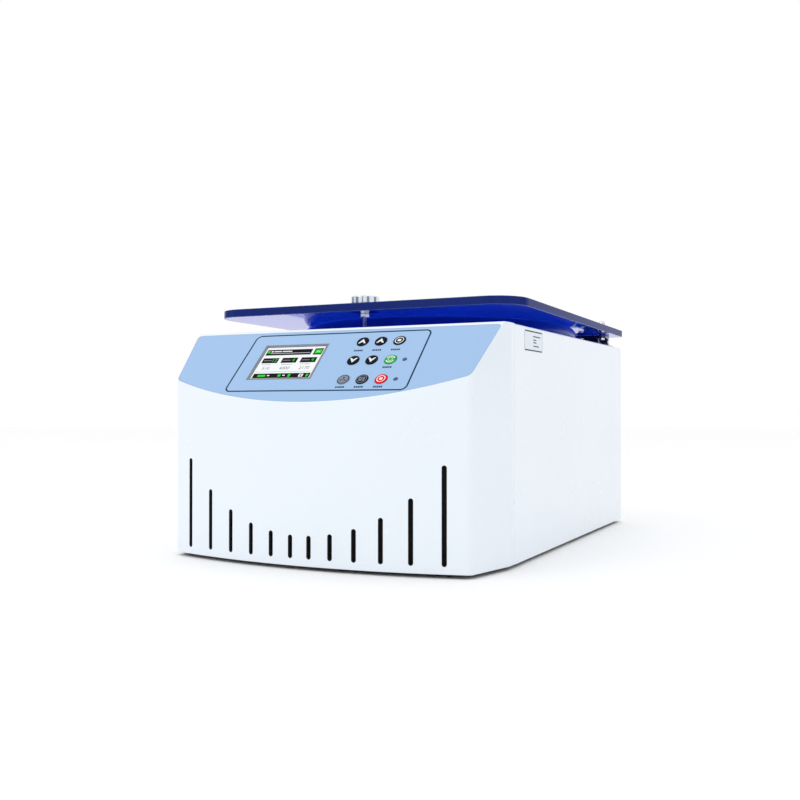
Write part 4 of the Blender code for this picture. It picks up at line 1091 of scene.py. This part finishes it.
def key_icon(name, low, high):
    """Generic symbol of one key."""
    icon = bmesh.new()

    def ring(outer, inner, steps=48):
        add_tube(icon, circle((0, 0), outer, steps), circle((0, 0), inner, steps), low, high)

    def block(size, radius):
        add_prism(icon, rounded_centred((0, 0), size, radius), low, high)

    if name == "pulse_key":
        ring(0.0050, 0.0041)
        block((0.0042, 0.0036), 0.0014)
    elif name == "start_key":
        for start in (20, 200):
            outer = arc((0, 0), 0.0050, start, start + 140, 20)
            inner = arc((0, 0), 0.0038, start + 140, start, 20)
            add_prism(icon, outer + inner, low, high)
        ring(0.0026, 0.0020, 32)
    elif name == "stop_key":
        ring(0.0048, 0.0038)
        block((0.0034, 0.0034), 0.0005)
    elif name == "menu_key":
        ring(0.0056, 0.0050)
        block((0.0066, 0.0058), 0.0012)
    elif name == "rotor_key":
        ring(0.0062, 0.0055)
        for turn in (90, 210, 330):
            add_prism(icon, circle(around(0.0026, turn), 0.0009, 20), low, high)
        add_prism(icon, circle((0, 0), 0.0008, 20), low, high)
    else:
        add_prism(icon, arrow(1 if "_up_" in name else -1), low, high)
    return icon


def build_keys():
    top, corner = KEY_PROUD, (KEY_RADIUS - 0.0005, KEY_PROUD - 0.0004)
    edge = [(min(radius + 0.0001, KEY_RADIUS), z) for radius, z in arc(corner, 0.0004, 80, 0, 5)]
    profile = [(0, top), (corner[0], top)] + edge
    profile += [(KEY_RADIUS, top - KEY_HEAD), (KEY_STEM_RADIUS, top - KEY_HEAD),
                (KEY_STEM_RADIUS, KEY_STEM_END), (0, KEY_STEM_END)]
    low, high = top - INK_ROOT, top + INK
    for names, v in zip(KEY_NAMES, KEY_ROWS):
        for name, u in zip(names, KEY_COLUMNS):
            place = PANEL @ at(u, v)
            material, slot = KEY_LOOKS.get(name, (BLACK_INK, "key_black"))
            put(make(name + "_cap", turned(profile, 64), material, place), name, slot, name)
            ink, ink_slot = ICON_INKS.get(name, (WHITE_INK, "white_paint"))
            put(make(name + "_icon", key_icon(name, low, high), ink, place), name, ink_slot)
            if name == "menu_key":
                bars = bmesh.new()
                for y in (-0.0016, 0, 0.0016):
                    bar = rounded_centred((0, y), (0.0042, 0.0007), 0.0002, 3)
                    add_prism(bars, bar, high - 0.00002, high + 0.00005)
                put(make("menu_key_bars", bars, BLACK_INK, place), name, "key_black")


def build_lamps():
    section = [(0, KEY_STEM_END), (LED_RADIUS, KEY_STEM_END), (LED_RADIUS, -0.0004),
               (0.0011, -0.0001), (0, 0)]
    lens = softened(section, 0.0003)
    for name, v in (("run_led", KEY_ROWS[1]), ("stop_led", KEY_ROWS[2])):
        place = PANEL @ at(LED_U, v)
        put(make(name + "_lens", turned(lens, 32), LED_LENS, place), "housing", "led_lens", name)


# ---- lid ----

def thread(radius, low, high):
    """Profile of a threaded length, from low to high."""
    pitch, depth = 0.0008, 0.0003
    points = []
    z = low
    while z + pitch < high:
        points += [(radius - depth, z), (radius, z + pitch / 2)]
        z += pitch
    return points + [(radius - depth, z)]


def cover_shoulder(inset):
    """Quarter-round edge of the round cover, pulled in by inset, in (radius, height)."""
    reach = COVER_RIM_RADIUS - COVER_TOP_RADIUS
    turns = [math.radians(90 * i / 14) for i in range(15)]
    return [(COVER_TOP_RADIUS - inset + reach * math.sin(turn),
             LID_UNDER - COVER_HEIGHT + (COVER_HEIGHT - inset) * math.cos(turn)) for turn in turns]


def build_lid():
    outline = rounded((-LID_HALF_WIDTH, LID_HALF_WIDTH), (LID_FRONT_DEPTH - AXIS_DEPTH, LID_REAR_REACH),
                      (LID_CORNER, LID_CORNER, 0.008, 0.008), 24)
    plate = make("lid_sheet", prism(outline, LID_RISE, LID_TOP), LID_BLUE, LID)
    holes = prism(circle((0, KNOB_Y), 0.0028, 32), -0.01, 0.03)
    for bolt in LID_BOLTS:
        add_prism(holes, circle(bolt, 0.0023, 24), -0.01, 0.03)
    carve(plate, holes, LID)
    round_edges(plate, 0.0007, 3)
    put(plate, "lid", "lid_blue", "lid_plate")

    skin = 0.003
    shell = ([(0, LID_UNDER)] + cover_shoulder(0) + list(reversed(cover_shoulder(skin)))
             + [(0, LID_UNDER - skin)])
    place = LID @ at(0, CHAMBER.y - HINGE_POINT.y)
    put(make("inner_dome", turned(shell, 192), COVER_BLUE, place), "lid", "cover_blue", "lid_inner_cover")


def build_knob():
    """Knob on the lid, with the latch stud and its nut under it."""
    place = LID @ at(0, KNOB_Y)
    section = [(0, 0.0096), (0.0030, 0.0098), (0.0140, 0.0098)] + arc((0.0145, 0.0083), 0.0015, 80, 0, 6)
    section += [(KNOB_RADIUS, 0.0022), (0.0156, 0.0018), (0.0156, 0.0012), (KNOB_RADIUS, 0.0008),
                (0.0152, 0), (0, 0)]
    knob = turned([(radius, LID_TOP + GAP + height) for radius, height in section], 128)
    put(make("grip_knob", knob, CHROME_BLUE_REFLECTION, place), "lid", "chrome", "lid_knob")

    radius, neck = LATCH_RADIUS, 0.0012
    tip, groove = LID_RISE - 0.032, LID_RISE - 0.0270
    stud = ([(0, tip), (0.0017, tip), (radius, tip + 0.0012), (radius, groove - 0.0020),
             (neck, groove - 0.0018), (neck, groove + 0.0022), (radius, groove + 0.0024)]
            + thread(radius, LID_RISE - 0.018, LID_RISE - 0.001) + [(radius, LID_RISE), (0, LID_RISE)])
    put(make("latch_pin", turned(stud, 40), STUD_STEEL, place), "lid", "chrome", "latch_stud")
    put(hex_nut("jam_nut", place, 0.0054, LID_UNDER - 0.004, LID_UNDER), "lid", "chrome", "latch_nut")


def hex_nut(name, matrix, radius, low, high):
    """Hexagon with its corners chamfered."""
    nut = make(name, prism(circle((0, 0), radius, 6), low, high), CHROME_BLUE_REFLECTION, matrix)
    reach, outer, chamfer, past = radius * 0.93, radius * 1.03, radius * 0.14, 0.0001
    cone = turned([(0, low - past), (reach, low - past), (outer, low + chamfer),
                   (outer, high - chamfer), (reach, high + past), (0, high + past)], 48)
    carve(nut, cone, matrix, "INTERSECT")
    even_normals(nut)
    return nut


def build_leaf(side, word):
    """Hinge leaf under the lid, with the arm that turns on the pin."""
    place = LID @ at(side * HINGE_X, 0)
    outline = rounded((-0.0215, 0.0215), (-0.0375, -0.0085), 0.0060)
    leaf = make("hinge_flap_" + word, prism(outline, LEAF_LOW, LID_UNDER), HINGE_BLACK, place)
    arm = ([(-0.0315, LEAF_LOW + 0.001), (-0.0315, -0.0040), (-0.0303, -0.0052), (-0.002, -0.0052)]
           + arc((0, 0), 0.0055, -70, 90, 16) + [(-0.004, LEAF_LOW + 0.001)])
    carve(leaf, side_prism(arm, LEAF_HALF_WIDTH), place, "UNION")
    carve(leaf, side_prism(circle((0, 0), PIN_BORE, 32), 0.02), place)
    round_edges(leaf, 0.0005)
    put(leaf, "lid", "hinge_black", "hinge_leaf_" + word)


def build_base(side, word):
    """Hinge base on the deck: plate, two ears, pin and four screws."""
    place = at(side * HINGE_X, HINGE_POINT.y, HINGE_POINT.z)
    floor = DECK + GAP - HINGE_POINT.z
    plate_top = floor + 0.0025
    plate = prism(rounded((-0.023, 0.023), (-0.0312, 0.0068), 0.0045), floor, plate_top)
    base = make("hinge_foot_" + word, plate, HINGE_BLACK, place)
    ear = [(-0.0065, plate_top - 0.001), (0.0065, plate_top - 0.001)] + arc((0, 0), 0.0065, 0, 180, 20)
    ear_x = LEAF_HALF_WIDTH + GAP + EAR_THICKNESS / 2
    for shift in (-ear_x, ear_x):
        carve(base, side_prism(ear, EAR_THICKNESS / 2, shift), place, "UNION")
    carve(base, side_prism(circle((0, 0), PIN_BORE, 32), 0.03), place)
    round_edges(base, 0.0004)
    put(base, "housing", "hinge_black", "hinge_base_" + word)

    end, head = LEAF_HALF_WIDTH + GAP + EAR_THICKNESS, 0.0042
    pin = [(0, -end - 0.001), (0.0021, -end - 0.001), (PIN_RADIUS, -end - 0.0006), (PIN_RADIUS, end + GAP),
           (head, end + GAP), (head, end + 0.0018), (0.0034, end + 0.0026), (0, end + 0.0026)]
    turn = place @ rotation(side * math.pi / 2, "Y")
    rod = make("hinge_rod_" + word, turned(softened(pin, 0.0002), 48), CHROME_BLUE_REFLECTION, turn)
    put(rod, "housing", "chrome", "hinge_pin_" + word)
    screws = [(x, y, plate_top) for x in (-0.0185, 0.0185) for y in (-0.0245, -0.0020)]
    build_screws(pan_screw(0.0026, 0.0013), screws, "hinge_screw_" + word, place)


def build_hinges():
    for side, word in ((-1, "left"), (1, "right")):
        build_leaf(side, word)
        build_base(side, word)


def build_lid_bolts():
    """Dome nuts with washers on the lid, and the bolt heads under the hinge leaves."""
    seat, head = LID_TOP + GAP, LEAF_LOW - GAP
    dome_radius, shank_radius = 0.0047, 0.0020
    washer = softened([(0, seat + 0.0008), (0.0055, seat + 0.0008), (0.0055, seat), (0, seat)], 0.0002)
    dome = arc((0, seat + 0.0115 - dome_radius), dome_radius, 0, 90, 12)
    cap = [(0, seat + 0.0006), (dome_radius, seat + 0.0006)] + dome[:-1] + [(0, dome[-1][1])]
    shank = [(0, head - 0.0030), (0.0030, head - 0.0030), (0.0038, head - 0.0022), (0.0040, head),
             (shank_radius, head), (shank_radius, seat + 0.001), (0, seat + 0.001)]
    words = ("left_outer", "left_inner", "right_inner", "right_outer")
    for word, (x, y) in zip(words, LID_BOLTS):
        place = LID @ at(x, y)
        sections = ((washer, 48), (cap, 64), (shank, 40))
        parts = [(turned(section, steps), UPRIGHT) for section, steps in sections]
        nut = make("acorn_nut_" + word, joined(*parts), CHROME_BLUE_REFLECTION, place, outwards=False)
        put(nut, "lid", "chrome", "lid_bolt_" + word)
        put(hex_nut("acorn_hex_" + word, place, 0.0055, seat + 0.0008, seat + 0.0052), "lid", "chrome")


# ---- CAD solids that stay ----

def keep(node, material, width=0.0004):
    """A CAD solid stays, with its edges rounded and a better material."""
    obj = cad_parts[node]
    if not obj.material_slots:
        obj.data.materials.append(material)
    for holder in obj.material_slots:
        holder.link = "OBJECT"
        holder.material = material
    weld = obj.modifiers.new("weld", "WELD")
    weld.merge_threshold = 0.000002
    flat = obj.modifiers.new("flat", "DECIMATE")
    flat.decimate_type = "DISSOLVE"
    flat.angle_limit = math.radians(1)
    bevel_edges(obj, width, angle=math.radians(40))
    normals = obj.modifiers.new("normals", "WEIGHTED_NORMAL")
    normals.keep_sharp = True


def keep_solids():
    for node in ("guard_ring", "motor_plate", "lock_bolt"):
        keep(node, ZINC)
    # the base pan takes near-black paint: painted shade where it shows through the slots
    keep("base_pan", PAN_SHADE_BLACK)
    for node in ("motor_damper_1", "motor_damper_2", "motor_damper_3"):
        keep(node, RUBBER)
    keep("motor_body", MOTOR)
    keep("drive_shaft", STEEL)
    for node in ("control_board", "drive_board"):
        keep(node, BOARD, 0.0002)
    for node in ("lock_body", "power_inlet", "switch_frame", "power_rocker", "fuse_holder"):
        keep(node, BLACK)


def build_feet():
    for node in ("foot_front_left", "foot_front_right", "foot_rear_left", "foot_rear_right"):
        low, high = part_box(node)
        height = high.z - low.z
        profile = [(0, 0), (0.014, 0), (0.016, 0.002), (0.015, height), (0, height)]
        place = at((low.x + high.x) / 2, (low.y + high.y) / 2, low.z)
        foot = turned(softened(profile, 0.0006), 64)
        put(make(node.replace("foot", "rubber_foot"), foot, RUBBER, place), "housing", "rubber", node)


# ---- studio ----

FLAG_DISTANCE = 3.2
FLAG_LOW, FLAG_HIGH = 0.3, 1.1
# bearing in degrees and width of each dark flag that glossy surfaces reflect
FLAGS = ((-38, 1.5), (8, 0.5), (52, 1.2), (118, 1.6), (200, 1.2), (275, 1.5))
LIGHT_TARGET = Vector((0, 0, 0.12))
LENS = 43.26
EYE = (0.5168, FRONT_Y - 0.8176, 0.1622)
EYE_RISE = math.radians(0.4755)
EYE_TURN = math.radians(26.31)


def area_light(name, place, size, power):
    light = bpy.data.lights.new(name, "AREA")
    light.shape = "RECTANGLE"
    light.size, light.size_y = size
    light.energy = power
    lamp = bpy.data.objects.new(name, light)
    bpy.context.collection.objects.link(lamp)
    lamp.location = place
    lamp.rotation_euler = (LIGHT_TARGET - Vector(place)).to_track_quat("-Z", "Y").to_euler()


def build_floor():
    bm = bmesh.new()
    bmesh.ops.create_circle(bm, cap_ends=True, segments=96, radius=7.0)
    finish = Finish("studio_floor", (0.99, 0.99, 0.99), 0.70, Specular_IOR_Level=0.2)
    finish.tint(finish.noise(3), (0.98, 0.98, 0.982))
    place = at(0, 0, CAD_BOX[0][2])
    make("studio_floor", bm, finish.material, place, outwards=False)


def build_flags():
    dark = Finish("flag_cloth", (0.24, 0.29, 0.38), 0.9)
    dark.tint(dark.noise(8), (0.26, 0.31, 0.40))
    for number, (bearing, width) in enumerate(FLAGS, 1):
        turn = math.radians(bearing)
        cloth = prism(rounded_centred((0, 0), (width, 0.02), 0.005, 2), FLAG_LOW, FLAG_HIGH)
        place = rotation(turn) @ at(0, -FLAG_DISTANCE)
        flag = make("flag_%d" % number, cloth, dark.material, place)
        flag.visible_camera = False
        flag.visible_diffuse = False
        flag.visible_shadow = False
        flag.visible_transmission = False


def build_studio():
    build_floor()
    world = bpy.data.worlds.new("studio")
    world.use_nodes = True
    background = world.node_tree.nodes["Background"]
    background.inputs["Color"].default_value = (1.0, 1.0, 1.0, 1.0)
    background.inputs["Strength"].default_value = 1.0
    bpy.context.scene.world = world
    area_light("key", (-1.0, -1.9, 1.7), (1.6, 1.6), 7)
    area_light("top", (0.2, 0.5, 2.2), (2.0, 1.6), 3)
    build_flags()


def build_camera():
    camera = bpy.data.cameras.new("camera")
    camera.lens = LENS
    camera.sensor_width = 36
    camera.clip_start = 0.01
    holder = bpy.data.objects.new("camera", camera)
    bpy.context.collection.objects.link(holder)
    holder.location = EYE
    holder.rotation_euler = (math.pi / 2 + EYE_RISE, 0, EYE_TURN)
    bpy.context.scene.camera = holder
    bpy.context.scene.view_settings.view_transform = "Standard"


build_front()
build_sides()
build_label()
build_deck()
build_rear()
build_chamber()
build_rotor()
build_rotor_nut()
build_fascia()
build_display()
build_keys()
build_lamps()
build_lid()
build_knob()
build_hinges()
build_lid_bolts()
keep_solids()
build_feet()
build_studio()
build_camera()
